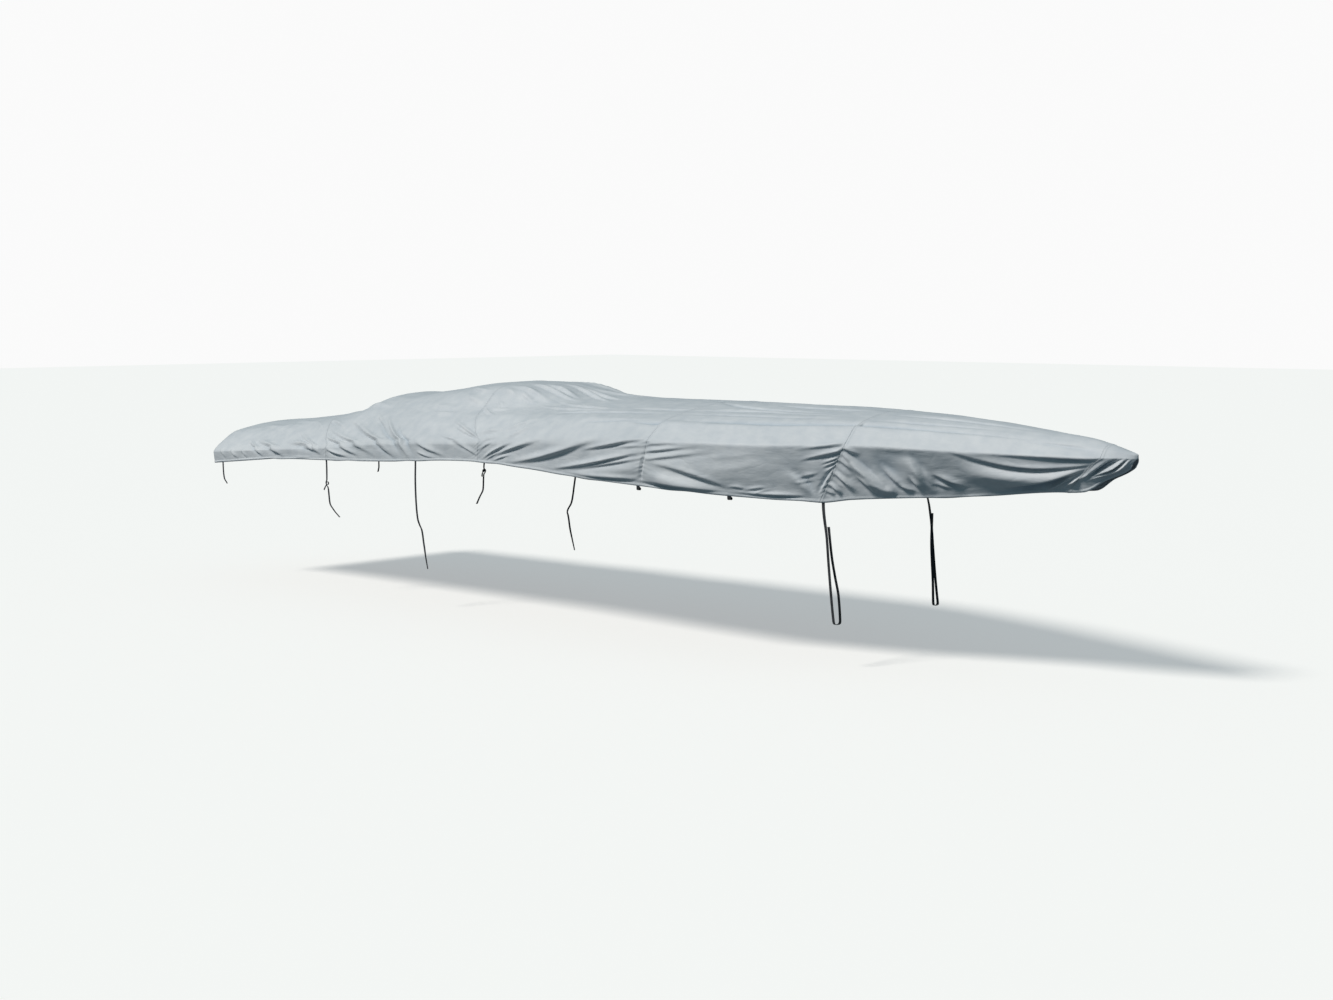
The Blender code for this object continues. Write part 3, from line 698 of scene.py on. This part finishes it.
def raised(tree, shader, height, strength, distance):
    """Bends the shader's normal by a height's slope, at a strength and over a distance."""
    bump = tree.nodes.new("ShaderNodeBump")
    bump.inputs["Strength"].default_value = strength
    bump.inputs["Distance"].default_value = distance
    tree.links.new(height, bump.inputs["Height"])
    tree.links.new(bump.outputs[0], shader.inputs["Normal"])


def scaled(tree, value, factor, more, clamp=False):
    """A value times a factor, and more added."""
    return math_node(tree, "ADD", math_node(tree, "MULTIPLY", value, factor), more, clamp)


def polyester():
    """Silver-grey coated polyester: a noise's tone, with painted shade that is darker and bluer the deeper a
    fold lies, and stitches over it.
    """
    settings = {"Sheen Weight": 0.15, "Sheen Roughness": 0.45, "Specular IOR Level": 0.4}
    material, tree, shader, uv, place = woven_material("silver_polyester", settings)
    broad = noise(tree, place, 1.1, 3, (0.6, 1, 1))
    mottle = noise(tree, place, 9.0, 4)
    tone = mixed(tree, "MULTIPLY", 1.0, ramp(tree, broad, CLOTH_TONES), ramp(tree, mottle, MOTTLE_TONES))
    # Painted shade: the tone turns darker and bluer the deeper a fold's trough lies, and a little lighter on
    # its back.
    rise = scaled(tree, attribute(tree, "rise"), FOLD_SHADE_GAIN, 0.5, clamp=True)
    tone = mixed(tree, "MULTIPLY", 1.0, tone, ramp(tree, rise, FOLD_SHADE_TONES))
    split = tree.nodes.new("ShaderNodeSeparateXYZ")
    tree.links.new(uv, split.inputs[0])
    girth, run = split.outputs[0], split.outputs[1]
    to_hem, to_seam = attribute(tree, "to_hem"), attribute(tree, "to_seam")
    stitched = place_group(tree, STITCHES, Distance=to_hem, Run=run, Row=HEM_STITCHES)["Mask"]
    for row in SEAM_STITCHES:
        seam_row = place_group(tree, STITCHES, Distance=to_seam, Run=girth, Row=row)["Mask"]
        stitched = math_node(tree, "MAXIMUM", stitched, seam_row)
    tone = mixed(tree, "MIX", math_node(tree, "MULTIPLY", stitched, 0.55), tone, THREAD_TONE)
    tree.links.new(tone, shader.inputs["Base Color"])
    tree.links.new(scaled(tree, mottle, 0.16, 0.50), shader.inputs["Roughness"])
    weave = place_group(tree, WEAVE, UV=uv, Pitch=CLOTH_THREAD)["Height"]
    pleat = math_node(tree, "SUBTRACT", noise(tree, place, 3.4, 4, (0.55, 1.0, 1.5)), 0.5)
    pleat = math_node(tree, "ABSOLUTE", pleat)
    height = math_node(tree, "MULTIPLY", weave, WEAVE_BUMP)
    for value, share in ((mottle, MOTTLE_BUMP), (pleat, PLEAT_BUMP), (stitched, STITCH_BUMP)):
        height = scaled(tree, value, share, height)
    raised(tree, shader, height, 0.35, 0.001)
    return material


POLYESTER = polyester()


def finish_panel(piece, node, outward):
    """Thickness, finish and the frame's facts for one panel."""
    piece.data.materials.append(POLYESTER)
    add_thickness(piece, outward)
    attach(piece, "root")
    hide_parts(node)


def sewn_panel(name, node, seams, cells, lines, gathers):
    """A finished panel from its aft seam's station to its fore seam's. Cells: metres along, shares across."""
    finish_panel(cloth_panel(name, *seams, cells, lines, gathers), node, (0, 0, 1))


STERN_CREASES = creases(
    (0.64, -135, 1.12, -15, 1.48, 125, 16, 32, 45, 48, 0.60),
    (1.38, 5, 1.80, -10, 2.22, 122, 12, 34, 46, 36, 0.58),
    (0.56, -130, 0.84, -5, 1.06, 120, 8, 26, 34, 32, 0.55),
    (1.62, -200, 1.94, -40, 2.18, 100, 7, 22, 40, 32, 0.60),
    (0.34, -20, 0.42, 60, 0.54, 120, 10, 13, 35, 35),
    (0.10, -40, 0.19, 50, 0.27, 120, 6, 10, 35, 35),
    (0.58, 0, 0.64, 60, 0.72, 120, 7, 13, 28, 30),
    (1.50, 120, 1.80, 130, 2.16, 130, 3, 13, 20, 20),
    (0.40, -520, 0.95, -320, 1.45, -180, 5, 9, 90, 80),
    (1.15, -580, 1.60, -420, 2.05, -300, 5, 9, 80, 70),
    (1.80, -400, 2.05, -260, 2.22, -140, 5, 11, 50, 45),
)
SEAM_E = Gather(2.28, -0.12, 0.15, 0.040, 0.0016, 0.05, 0.5, 0.5)
sewn_panel(
    "cover_stern_panel",
    "panel_stern",
    seams=(0.0, 2.28),
    cells=(0.0145, 0.0160, 0.0062),
    lines=STERN_CREASES,
    gathers=(SEAM_E,),
)

# ------------------------------------------------------------------ Aft panel
# From the first cross seam to the second. It climbs onto the hump, and a taut ridge runs from the crown down
# to the long strap's seam, with long folds falling aft of it towards the hem.
AFT_CREASES = creases(
    (2.22, -110, 2.44, -30, 2.72, 55, 8, 25, 34, 36, 0.45),
    (2.20, -370, 2.42, -260, 2.72, -120, 5, 14, 45, 40),
    (2.23, -213, 2.64, -50, 3.26, 190, 14, 24, 50, 55, 0.60),
    (2.52, -320, 3.05, -90, 3.57, 190, 14, 30, 55, 50, 0.60),
    (2.23, 25, 2.46, 94, 2.72, 160, 7, 26, 28, 30, 0.45),
    (2.34, -60, 2.64, 60, 2.92, 160, 8, 22, 35, 40),
    (3.00, -110, 3.28, 60, 3.57, 200, 8, 22, 35, 35, 0.55),
    (3.33, -360, 3.56, -70, 3.82, 220, 32, 5, 34, 26, 0.60),
    (3.18, -320, 3.42, -70, 3.70, 190, -19, 5, 55, 35, 0.60),
    (3.52, -240, 3.68, -30, 3.88, 180, -19, -5, 55, 30, 0.60),
    (3.10, -370, 3.28, -230, 3.46, -80, 5, 14, 40, 35),
    (3.84, 0, 4.14, 100, 4.50, 190, 11, 20, 40, 40, 0.40),
    (3.90, 110, 4.06, 160, 4.30, 200, 5, 14, 24, 28, 0.40),
    (4.48, -290, 4.75, -140, 5.00, -9, 11, 22, 40, 35, 0.70),
    (4.56, -170, 4.72, -110, 4.99, 18, 5, 15, 30, 28, 0.60),
    (4.50, 0, 4.72, 70, 5.00, 184, 5, 12, 35, 28, 0.60),
    (4.30, -60, 4.52, 0, 4.76, 50, 5, 11, 35, 30),
    (2.60, -620, 3.00, -520, 3.40, -480, 8, 16, 70, 60),
    (3.95, -520, 4.30, -440, 4.60, -460, 8, 16, 60, 50),
    (4.10, -360, 4.40, -330, 4.75, -380, 8, 15, 50, 45),
    (4.40, -880, 4.60, -740, 5.00, -670, 12, 18, 50, 45, 0.60),
    (4.45, -660, 4.68, -580, 5.00, -531, 9, 20, 45, 40, 0.60),
)
SEAM_D = Gather(4.95, -0.15, 0.22, 0.040, 0.0024, 0.05, 0.6, -0.5)
sewn_panel(
    "cover_aft_panel",
    "panel_aft",
    seams=(2.28, 4.95),
    cells=(0.0145, 0.0120, 0.0064),
    lines=AFT_CREASES,
    gathers=(SEAM_E, SEAM_D),
)

# ------------------------------------------------------------------ Hump panel
# From the second cross seam to the third, over the forward end of the hump. Folds rise from one pinched
# point on the hem by the second seam and fan forward up the skirt, ever longer and deeper.
# One long low swell of the skirt is shared with the mid panel, so that it runs on past their seam.
SKIRT_BELLY = (6.20, 120, 7.85, 250, 9.44, 240, 34, 0, 110, 150, 0.55)
HUMP_CREASES = creases(
    SKIRT_BELLY,
    (5.30, 235, 5.98, 175, 6.79, -15, 21, 31, 40, 62, 0.62),
    (5.01, 200, 5.22, 110, 5.52, 15, 11, 23, 20, 38),
    (5.12, 195, 5.52, 85, 6.02, -5, 11, 21, 26, 50),
    (5.05, 215, 5.18, 160, 5.36, 105, 7, 14, 15, 22),
    (5.15, 225, 5.32, 180, 5.50, 150, 7, 14, 15, 22),
    (6.48, 115, 6.84, 68, 7.48, -22, 9, 23, 28, 36, 0.60),
    (5.98, 305, 6.66, 240, 7.50, 96, 16, 32, 32, 38, 0.60),
    (6.22, 315, 6.82, 255, 7.50, 164, 9, 21, 22, 30, 0.60),
    (6.28, 335, 6.75, 372, 7.50, 390, 11, 30, 36, 42, 0.72),
    (6.40, 310, 6.95, 305, 7.50, 276, 23, 0, 40, 55, 0.65),
    (6.95, 90, 7.15, 75, 7.50, 55, 5, 11, 20, 24, 0.60),
    (5.85, -365, 6.50, -470, 7.48, -535, -14, 16, 24, 24),
    (6.25, -215, 6.75, -255, 7.48, -362, -12, 14, 20, 20),
    (6.90, -260, 7.15, -262, 7.50, -273, -21, 11, 30, 35, 0.80),
    (5.28, 35, 5.62, -90, 6.02, -265, 10, 15, 24, 28),
    (5.28, -40, 5.58, -160, 5.98, -290, 10, 15, 24, 28),
    (4.91, -48, 5.17, -100, 5.44, -130, 9, 19, 32, 32, 0.55),
    (4.91, 32, 5.12, -10, 5.32, -55, 5, 10, 28, 28, 0.55),
    (4.90, 141, 5.06, 60, 5.18, 20, 5, 10, 22, 22, 0.55),
    (5.02, -840, 5.38, -780, 5.82, -680, 17, 20, 42, 38),
    (5.24, -745, 5.42, -690, 5.62, -630, 10, 20, 26, 26),
    (5.12, -1040, 5.54, -915, 6.04, -835, 17, 24, 42, 38),
    (5.30, -1090, 5.62, -1010, 5.94, -900, 17, 24, 46, 42),
    (5.36, -1250, 5.80, -1180, 6.36, -810, 17, 25, 48, 42),
    (5.50, -1330, 5.90, -1220, 6.40, -980, 17, 25, 48, 42),
    (5.74, -780, 6.22, -620, 6.66, -600, 7, 17, 32, 32),
    (5.60, -640, 6.10, -520, 6.70, -555, 7, 14, 32, 32),
    (6.60, -640, 7.00, -660, 7.48, -708, -12, 14, 26, 26, 0.60),
    (4.86, -580, 4.86, -690, 5.02, -745, 20, -10, 36, 36),
    (5.00, -740, 5.17, -735, 5.34, -660, 20, -10, 36, 36),
    (5.08, -640, 5.16, -570, 5.28, -585, 10, 15, 26, 26),
    (5.06, -520, 5.20, -490, 5.40, -530, 9, 14, 26, 26),
    (4.89, -545, 5.06, -420, 5.24, -300, 9, 15, 30, 30, 0.55),
)
SEAM_C = Gather(7.39, -0.03, 0.44, 0.046, 0.0045, 0.050, 0.3, 0.2)
sewn_panel(
    "cover_hump_panel",
    "panel_hump",
    seams=(4.95, 7.39),
    cells=(0.0125, 0.0100, 0.0066),
    lines=HUMP_CREASES,
    gathers=(SEAM_D, SEAM_C),
)

# ------------------------------------------------------------------ Mid panel
# From the third cross seam to the fourth, where the form starts to narrow. One big fold falls forward from
# the third seam to the hem, and the skirt is drawn in towards the gathered fourth seam.
# One shallow hollow along the crown's edge is shared with the fore panel.
CROWN_HOLLOW = (7.20, -370, 9.30, -262, 11.62, -30, -26, 12, 52, 16, 0.35)
MID_CREASES = creases(
    (7.30, 193, 7.94, 285, 8.49, 435, 0, 26, 50, 34, 0.60),
    (7.31, 304, 7.90, 385, 8.46, 445, 44, 0, 60, 32, 0.40),
    (7.30, 393, 7.88, 430, 8.42, 454, -10, 46, 46, 34, 0.45),
    (7.30, 125, 7.64, 85, 8.06, 28, 6, 18, 24, 38, 0.35),
    (7.32, 202, 7.76, 140, 8.30, 60, 6, 14, 30, 50, 0.35),
    (7.30, 58, 7.55, 35, 7.80, 20, 4, 10, 18, 24, 0.35),
    (7.90, 190, 8.35, 120, 8.95, 60, 4, 3, 60, 60),
    (8.00, 280, 8.50, 220, 9.00, 150, 4, 3, 60, 60),
    (8.40, 405, 8.52, 395, 8.68, 430, 6, 13, 20, 20),
    (8.58, 430, 8.72, 400, 8.90, 390, 6, 13, 24, 24),
    (8.38, 448, 8.86, 456, 9.30, 470, 0, 34, 28, 26, 0.55),
    (8.70, 455, 8.80, 420, 8.94, 405, 4, 10, 18, 20),
    (8.92, 45, 9.18, 12, 9.43, -18, 6, 16, 32, 24, 0.75),
    (8.98, 155, 9.20, 95, 9.44, 38, 8, 24, 36, 24, 0.75),
    (9.22, 172, 9.31, 140, 9.44, 89, 8, 18, 20, 16, 0.65),
    (9.25, 210, 9.33, 168, 9.44, 117, 8, 18, 20, 16, 0.65),
    (9.30, 250, 9.35, 218, 9.44, 132, 6, 16, 18, 16, 0.65),
    (8.86, 180, 9.10, 300, 9.31, 465, 0, -28, 65, 36, 0.65),
    (9.02, 315, 9.16, 278, 9.28, 250, 4, 10, 28, 28),
    (9.04, 350, 9.16, 335, 9.28, 320, 2, 8, 24, 24),
    (9.385, 180, 9.35, 300, 9.34, 475, 0, 24, 32, 30, 0.55),
    SKIRT_BELLY,
    CROWN_HOLLOW,
    (7.30, -520, 8.10, -520, 9.44, -360, -14, 12, 22, 20, 0.55),
    (7.36, -640, 8.08, -680, 9.30, -460, -18, 14, 24, 22),
    (7.20, -1300, 8.05, -840, 9.20, -560, -18, 16, 44, 26),
    (7.90, -1160, 8.60, -900, 9.40, -700, -14, 12, 50, 36),
)
SEAM_B = Gather(9.38, -0.02, 0.48, 0.054, 0.0035, 0.045, 0.75, 0.55)
sewn_panel(
    "cover_mid_panel",
    "panel_mid",
    seams=(7.39, 9.38),
    cells=(0.0115, 0.0120, 0.0058),
    lines=MID_CREASES,
    gathers=(SEAM_C, SEAM_B),
)

# ------------------------------------------------------------------ Fore panel
# From the fourth cross seam to the nose seam. Folds fall forward from the gathered seam to the hem, and one
# long trough runs under the bend to the nose, over a full belly that turns in to the hem.
FORE_CREASES = creases(
    (9.33, -4, 9.45, 50, 9.58, 95, 8, 25, 20, 26, 0.45),
    (9.46, 70, 9.78, 255, 10.06, 395, 0, 34, 45, 40, 0.55),
    (9.36, 20, 9.70, 225, 10.10, 400, 26, -70, 46, 62),
    (9.60, 220, 9.83, 330, 10.06, 420, 26, -16, 38, 42, 0.62),
    (9.34, 39, 9.44, 105, 9.50, 150, 6, 20, 16, 18),
    (9.34, 98, 9.46, 170, 9.56, 230, 6, 20, 22, 24),
    (9.33, 151, 9.46, 235, 9.56, 300, 6, 14, 22, 24),
    (9.58, 265, 9.74, 345, 9.88, 445, 8, 31, 28, 32),
    (9.33, 215, 9.52, 325, 9.72, 460, 14, 45, 26, 36),
    (9.33, 274, 9.50, 360, 9.62, 450, 6, 14, 20, 26),
    (9.33, 315, 9.47, 395, 9.56, 465, 11, 36, 24, 28),
    (9.33, 381, 9.44, 430, 9.50, 465, 6, 20, 20, 22),
    (9.74, 140, 9.92, 270, 10.12, 375, 6, 31, 40, 34, 0.60),
    (9.62, 50, 9.86, 170, 10.08, 300, -22, 6, 55, 50),
    (10.00, 320, 10.10, 360, 10.24, 402, 8, 28, 22, 22),
    (9.90, 350, 9.98, 385, 10.06, 440, 17, 8, 20, 20),
    (10.06, 235, 10.16, 310, 10.27, 375, 6, 28, 32, 30, 0.55),
    (9.92, 20, 10.16, 195, 10.44, 400, 20, -45, 50, 62, 0.55),
    (10.12, 150, 10.24, 250, 10.37, 350, 0, 25, 32, 30, 0.55),
    (10.22, 205, 10.45, 270, 10.66, 335, 6, 36, 34, 34),
    (10.30, 290, 10.42, 320, 10.58, 350, 6, 16, 24, 24),
    (9.34, 27, 9.85, 55, 10.30, 60, -11, 3, 60, 55, 0.55),
    (10.18, -30, 10.94, 104, 11.63, 48, -14, 48, 36, 30, 0.58),
    (10.50, 4, 11.10, 14, 11.61, 20, 0, 30, 20, 26, 0.75),
    (10.30, 120, 10.95, 190, 11.58, 100, 66, 4, 92, 45),
    (10.75, 330, 11.22, 235, 11.57, 86, 0, 60, 90, 45, 0.60),
    (11.33, 330, 11.42, 220, 11.50, 150, 40, -6, 18, 14, 0.45),
    (11.46, 280, 11.53, 190, 11.60, 130, 40, -6, 18, 14),
    CROWN_HOLLOW,
    (9.33, -365, 9.90, -330, 10.75, -235, -14, 12, 20, 18),
    (9.36, -560, 10.10, -490, 10.95, -270, -14, 12, 24, 20),
    (10.70, -100, 11.20, -62, 11.60, -25, -10, 8, 16, 12),
)
SEAM_A = Gather(11.55, 0.02, 0.28, 0.040, 0.0020, 0.030, -0.5, 0.5)
sewn_panel(
    "cover_fore_panel",
    "panel_fore",
    seams=(9.38, 11.55),
    cells=(0.0098, 0.0150, 0.0058),
    lines=FORE_CREASES,
    gathers=(SEAM_B, SEAM_A),
)

# ------------------------------------------------------------------ Nose cap
# The last and smallest panel, a pocket that hooks round the tip. Pulled aft by the hem, it lies in narrow
# slanting ridges that run from the tip down to its lower edge.
NOSE_CREASES = creases(
    (11.630, -20, 11.605, 90, 11.530, 230, 16, 0, 30, 26),
    (11.675, -10, 11.652, 90, 11.575, 220, -36, 22, 18, 20, 0.40),
    (11.708, -5, 11.667, 90, 11.570, 215, -26, 4, 9, 11, 0.45),
    (11.753, 0, 11.702, 93, 11.582, 215, -30, 4, 8, 10, 0.45),
    (11.735, -10, 11.682, 90, 11.575, 220, 48, 4, 12, 18, 0.42),
    (11.768, -5, 11.720, 95, 11.590, 215, 48, 4, 10, 14, 0.42),
    (11.788, 10, 11.757, 75, 11.690, 150, 18, 2, 9, 10),
    (11.46, 280, 11.53, 190, 11.60, 130, 40, -6, 18, 14),
)
sewn_panel(
    "cover_nose_cap",
    "nose_cap",
    seams=(11.55, 11.80),
    cells=(0.0050, 0.0195, 0.0053),
    lines=NOSE_CREASES,
    gathers=(SEAM_A,),
)

# ------------------------------------------------------------------ Stern end
# The upright panel that closes the cover behind. Its top edge is sewn to the stern panel's, and it hangs
# in shallow upright folds to a level hem.
END_ROWS = 36
END_CELL = 0.0195
END_DRAPE = 0.006
END_TURNS = 9.0
END_BEAT = 4.1
END_SMOOTH_FROM = 1.2
END_ROLL = 0.0035
END_CLEAR = 0.0022


def stern_end_panel():
    """Rows that run from the end section's top edge down to a level hem, in step with its skirt."""
    tops = shares_across(END_CELL, 1 - SHEER)
    tops = tops[np.abs(tops) <= SHEER]
    top = fitted_form(0.0, tops)[0]
    skirt = fitted_form(0.0, np.linspace(SHEER, 1.0, END_ROWS + 1))[0]
    down = ((skirt[0, 2] - skirt[:, 2]) / (skirt[0, 2] - skirt[-1, 2]))[:, None]
    widen = (skirt[:, 1] / skirt[0, 1])[:, None]
    height = top[None, :, 2] + (skirt[-1, 2] - top[None, :, 2]) * down
    across = top[None, :, 1] * widen
    to_hem = height - skirt[-1, 2]
    folds = END_DRAPE * np.sin(END_TURNS * across + 0.6) * np.sin(END_BEAT * across) * down
    folds = folds * np.clip(END_SMOOTH_FROM - np.abs(across), 0, 1)
    back = -(END_CLEAR + np.abs(folds) + END_ROLL * half_round(to_hem))
    points = np.stack([back, across, height], axis=-1) - (FORWARD, 0.0, HEIGHT)
    to_top = down * (top[None, :, 2] - skirt[-1, 2])
    return cloth_object("cover_stern_end", points, to_hem, to_top, folds)


finish_panel(stern_end_panel(), "stern_end", (-1, 0, 0))

# ------------------------------------------------------------------ Straps
# Black polypropylene webbing, sewn to the inside of the hem and tied down below, alike on both sides. One
# hangs at the stern corner, one is knotted, one has a small eye and one is looped back up to the hem.
WEB_WIDTH = 0.030
TAIL_WIDTH = 0.022
WEB_THICKNESS = 0.0018
WEB_CLEAR = 0.0008
WEB_TUCK = 0.010
WEB_UNTWIST = 0.30
WEB_CELL = 0.008
RIB_COLUMNS = 8
EDGE_POWER = 0.7
FACE_POWER = 0.35
HEM_SAMPLES = 400

# Where the middle of the near side's webbing runs, and how wide and thick it is there.
Web = namedtuple("Web", "x y height width thickness", defaults=(WEB_WIDTH, WEB_THICKNESS))
STRAP_STERN = table(
    Web,
    (0.175, -1.179, 1.300),
    (0.183, -1.174, 1.210),
    (0.200, -1.145, 1.140),
)
STRAP_KNOTTED = table(
    Web,
    (2.262, -1.182, 1.420),
    (2.254, -1.178, 1.310, 0.026, 0.0022),
    (2.252, -1.187, 1.286, 0.024, 0.0026),
    (2.250, -1.182, 1.262, 0.022, 0.0026),
    (2.252, -1.168, 1.254, 0.022, 0.0026),
    (2.256, -1.158, 1.268, 0.022, 0.0026),
    (2.260, -1.164, 1.288, 0.022, 0.0026),
    (2.264, -1.180, 1.294, 0.022, 0.0026),
    (2.266, -1.194, 1.278, 0.022, 0.0026),
    (2.264, -1.190, 1.254, 0.022, 0.0026),
    (2.262, -1.172, 1.234, 0.024, 0.0022),
    (2.263, -1.164, 1.200, 0.028),
    (2.264, -1.160, 1.150),
    (2.267, -1.150, 1.046),
    (2.268, -1.100, 0.965),
    (2.285, -1.030, 0.875),
)
STRAP_TAIL = table(
    Web,
    (2.2390, -1.173, 1.256, 0.012),
    (2.222, -1.178, 1.228, TAIL_WIDTH),
    (2.207, -1.185, 1.195, 0.024),
)
STRAP_LONG = table(
    Web,
    (3.872, -1.205, 1.450),
    (3.848, -1.180, 1.187),
    (3.834, -1.150, 0.993),
    (3.816, -1.105, 0.905, 0.026, 0.005),
    (3.820, -1.094, 0.880, 0.020, 0.006),
    (3.832, -1.092, 0.855, 0.026, 0.005),
    (3.865, -1.092, 0.700),
    (3.900, -1.097, 0.560, 0.024),
    (3.934, -1.100, 0.442, 0.018),
)
STRAP_LOOP = table(
    Web,
    (9.150, -0.805, 1.345),
    (9.175, -0.805, 1.200),
    (9.198, -0.805, 0.968),
    (9.233, -0.805, 0.652),
    (9.262, -0.805, 0.440),
    (9.266, -0.798, 0.418),
    (9.268, -0.780, 0.410),
    (9.270, -0.745, 0.410),
    (9.271, -0.727, 0.418),
    (9.270, -0.720, 0.440),
    (9.256, -0.728, 0.658),
    (9.228, -0.748, 0.844),
    (9.205, -0.768, 1.023),
    (9.190, -0.797, 1.290),
)
Strap = namedtuple("Strap", "name hem_x panel webs")
STRAPS = (
    Strap("strap_stern", 0.170, "cover_stern_panel", STRAP_STERN),
    Strap("strap_knotted", 2.270, "cover_stern_panel", STRAP_KNOTTED),
    Strap("strap_long", 3.886, "cover_aft_panel", STRAP_LONG),
    Strap("strap_loop", 9.125, "cover_fore_panel", STRAP_LOOP),
)
DUST_TONES = ((0.35, (0.008, 0.009, 0.012, 1)), (0.75, (0.030, 0.031, 0.034, 1)))
RIB_TONES = ((0.0, (0.75, 0.75, 0.75, 1)), (1.0, (1.15, 1.15, 1.15, 1)))
WEB_THREAD = 0.0022


def webbing():
    """Black woven webbing: ribs along its length, a twill across them, and a little grey dust."""
    material, tree, shader, uv, place = woven_material("black_webbing", {"Sheen Weight": 0.1})
    dust = noise(tree, place, 35.0, 4)
    weave = place_group(tree, WEAVE, UV=uv, Pitch=WEB_THREAD)["Height"]
    ribs = ramp(tree, scaled(tree, weave, 0.5, 0.5), RIB_TONES)
    tone = mixed(tree, "MULTIPLY", 1.0, ramp(tree, dust, DUST_TONES), ribs)
    tree.links.new(tone, shader.inputs["Base Color"])
    tree.links.new(scaled(tree, dust, 0.2, 0.6), shader.inputs["Roughness"])
    raised(tree, shader, weave, 0.5, 0.0005)
    return material


WEBBING = webbing()


def hem_end(x, width):
    """The two points where webbing leaves its seam behind the near side's hem, at x along that hem."""
    stations = np.linspace(0, SECTIONS[-1].x, HEM_SAMPLES)
    station = np.interp(x, fitted_form(stations, -1.0)[2], stations)
    skirt = column(SECTIONS, "sheer", x) - column(SECTIONS, "hem", x)
    place, outward = fitted_form(station, np.array((WEB_TUCK / skirt * (1 - SHEER) - 1, -1)))[:2]
    behind = place - outward * (CLOTH + WEB_CLEAR + WEB_THICKNESS / 2)
    return [Web(*point, width, WEB_THICKNESS) for point in behind]


def hem_slope(x):
    """How fast the near side's hem runs in towards the centre, in plan."""
    places = (x - NUDGE, x + NUDGE)
    aft, fore = [column(SECTIONS, "half_width", at) - column(SECTIONS, "tuck", at) for at in places]
    return (aft - fore) / (2 * NUDGE)


def web_band(name, webs, side):
    """Webbing: a flat ribbed band carried along a smooth curve through its points, with rounded edges."""
    rows = np.array(webs, float)
    steps = np.linalg.norm(np.diff(rows[:, :3], axis=0), axis=1)
    length = np.concatenate([[0], np.cumsum(steps)])
    at = spaced(0, length[-1], WEB_CELL)
    rows = np.stack([smooth(at, length, rows[:, i]) for i in range(rows.shape[1])], axis=1)
    path = rows[:, :3]
    ahead = np.gradient(path, axis=0)
    ahead /= np.linalg.norm(ahead, axis=1, keepdims=True)
    fade = np.clip(1 - (path[0, 2] - path[:, 2]) / WEB_UNTWIST, 0, 1)
    wide = np.stack([np.ones(len(path)), hem_slope(path[0, 0]) * fade, np.zeros(len(path))], axis=1)
    wide -= ahead * (ahead * wide).sum(axis=1, keepdims=True)
    wide /= np.linalg.norm(wide, axis=1, keepdims=True)
    face = np.cross(ahead, wide)
    turn = np.linspace(0, 2 * np.pi, 2 * RIB_COLUMNS, endpoint=False)
    flat = np.sign(np.cos(turn)) * np.abs(np.cos(turn)) ** EDGE_POWER
    thick = np.sign(np.sin(turn)) * np.abs(np.sin(turn)) ** FACE_POWER
    half = rows[:, 3:4] / 2
    points = path[:, None] + (flat * half)[..., None] * wide[:, None]
    points = points + (thick * rows[:, 4:5] / 2)[..., None] * face[:, None]
    points[..., 1] *= -side
    points -= (FORWARD, 0.0, HEIGHT)
    return tube_object(name, points, rows[:, 3].max())


def tube_object(name, points, width):
    """A closed tube from rings of points, capped at both ends, with a UV map in metres round and along it."""
    rows, columns = points.shape[:2]
    index = np.arange(rows * columns).reshape(rows, columns)
    after = np.roll(index, -1, axis=1)
    faces = np.stack([index[:-1], after[:-1], after[1:], index[1:]], axis=-1).reshape(-1, 4)
    mesh = bpy.data.meshes.new(name)
    caps = [tuple(index[0][::-1]), tuple(index[-1])]
    mesh.from_pydata(points.reshape(-1, 3).tolist(), [], [tuple(f) for f in faces.tolist()] + caps)
    around = np.broadcast_to(np.arange(columns) / columns * 2 * width, (rows, columns))
    piece = measured_piece(name, mesh, np.stack([around, distances(points, 0)], axis=-1))
    work = bmesh.new()
    work.from_mesh(mesh)
    bmesh.ops.recalc_face_normals(work, faces=work.faces)
    work.to_mesh(mesh)
    work.free()
    return piece


def finish_web(piece, node):
    """Finish and the frame's facts for a strap or tab."""
    piece.data.materials.append(WEBBING)
    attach(piece, "root")
    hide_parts(node)


for suffix, side in (("near", -1), ("far", 1)):
    for strap in STRAPS:
        webs = hem_end(strap.hem_x, WEB_WIDTH) + list(strap.webs)
        piece = web_band(f"{strap.name}_web_{suffix}", webs, side)
        finish_web(piece, f"{strap.name}_{suffix}")
    tail = web_band(f"strap_tail_web_{suffix}", STRAP_TAIL, side)
    finish_web(tail, f"strap_tail_{suffix}")

# ------------------------------------------------------------------ Tab loops
# Short loops of the same black webbing, but wider, folded double and sewn to the inside of the hem. They are
# left empty and hang in a drop shape.
TAB_WIDTH = 0.038
TAB_DROP = 0.040
TAB_MOUTH = 0.026
TAB_TURN_POINTS = 9
TABS = (("tab_mid", 7.23, "cover_hump_panel"), ("tab_fore", 8.24, "cover_mid_panel"))


def tab_path(x):
    """The tab's points: down from the hem, round a half turn and back up to it."""
    upper, lower = hem_end(x, TAB_WIDTH)
    turn = TAB_MOUTH / 2
    angle = np.linspace(0, np.pi, TAB_TURN_POINTS)
    inward = turn - turn * np.cos(angle)
    down = TAB_DROP - turn + turn * np.sin(angle)
    behind = WEB_THICKNESS + WEB_CLEAR
    webs = [lower._replace(y=lower.y + i, height=lower.height - d) for i, d in zip(inward, down)]
    return [upper, lower, *webs, lower._replace(y=lower.y + behind), upper._replace(y=upper.y + behind)]


for suffix, side in (("near", -1), ("far", 1)):
    for name, x, panel in TABS:
        webs = tab_path(x)
        finish_web(web_band(f"{name}_web_{suffix}", webs, side), f"{name}_{suffix}")
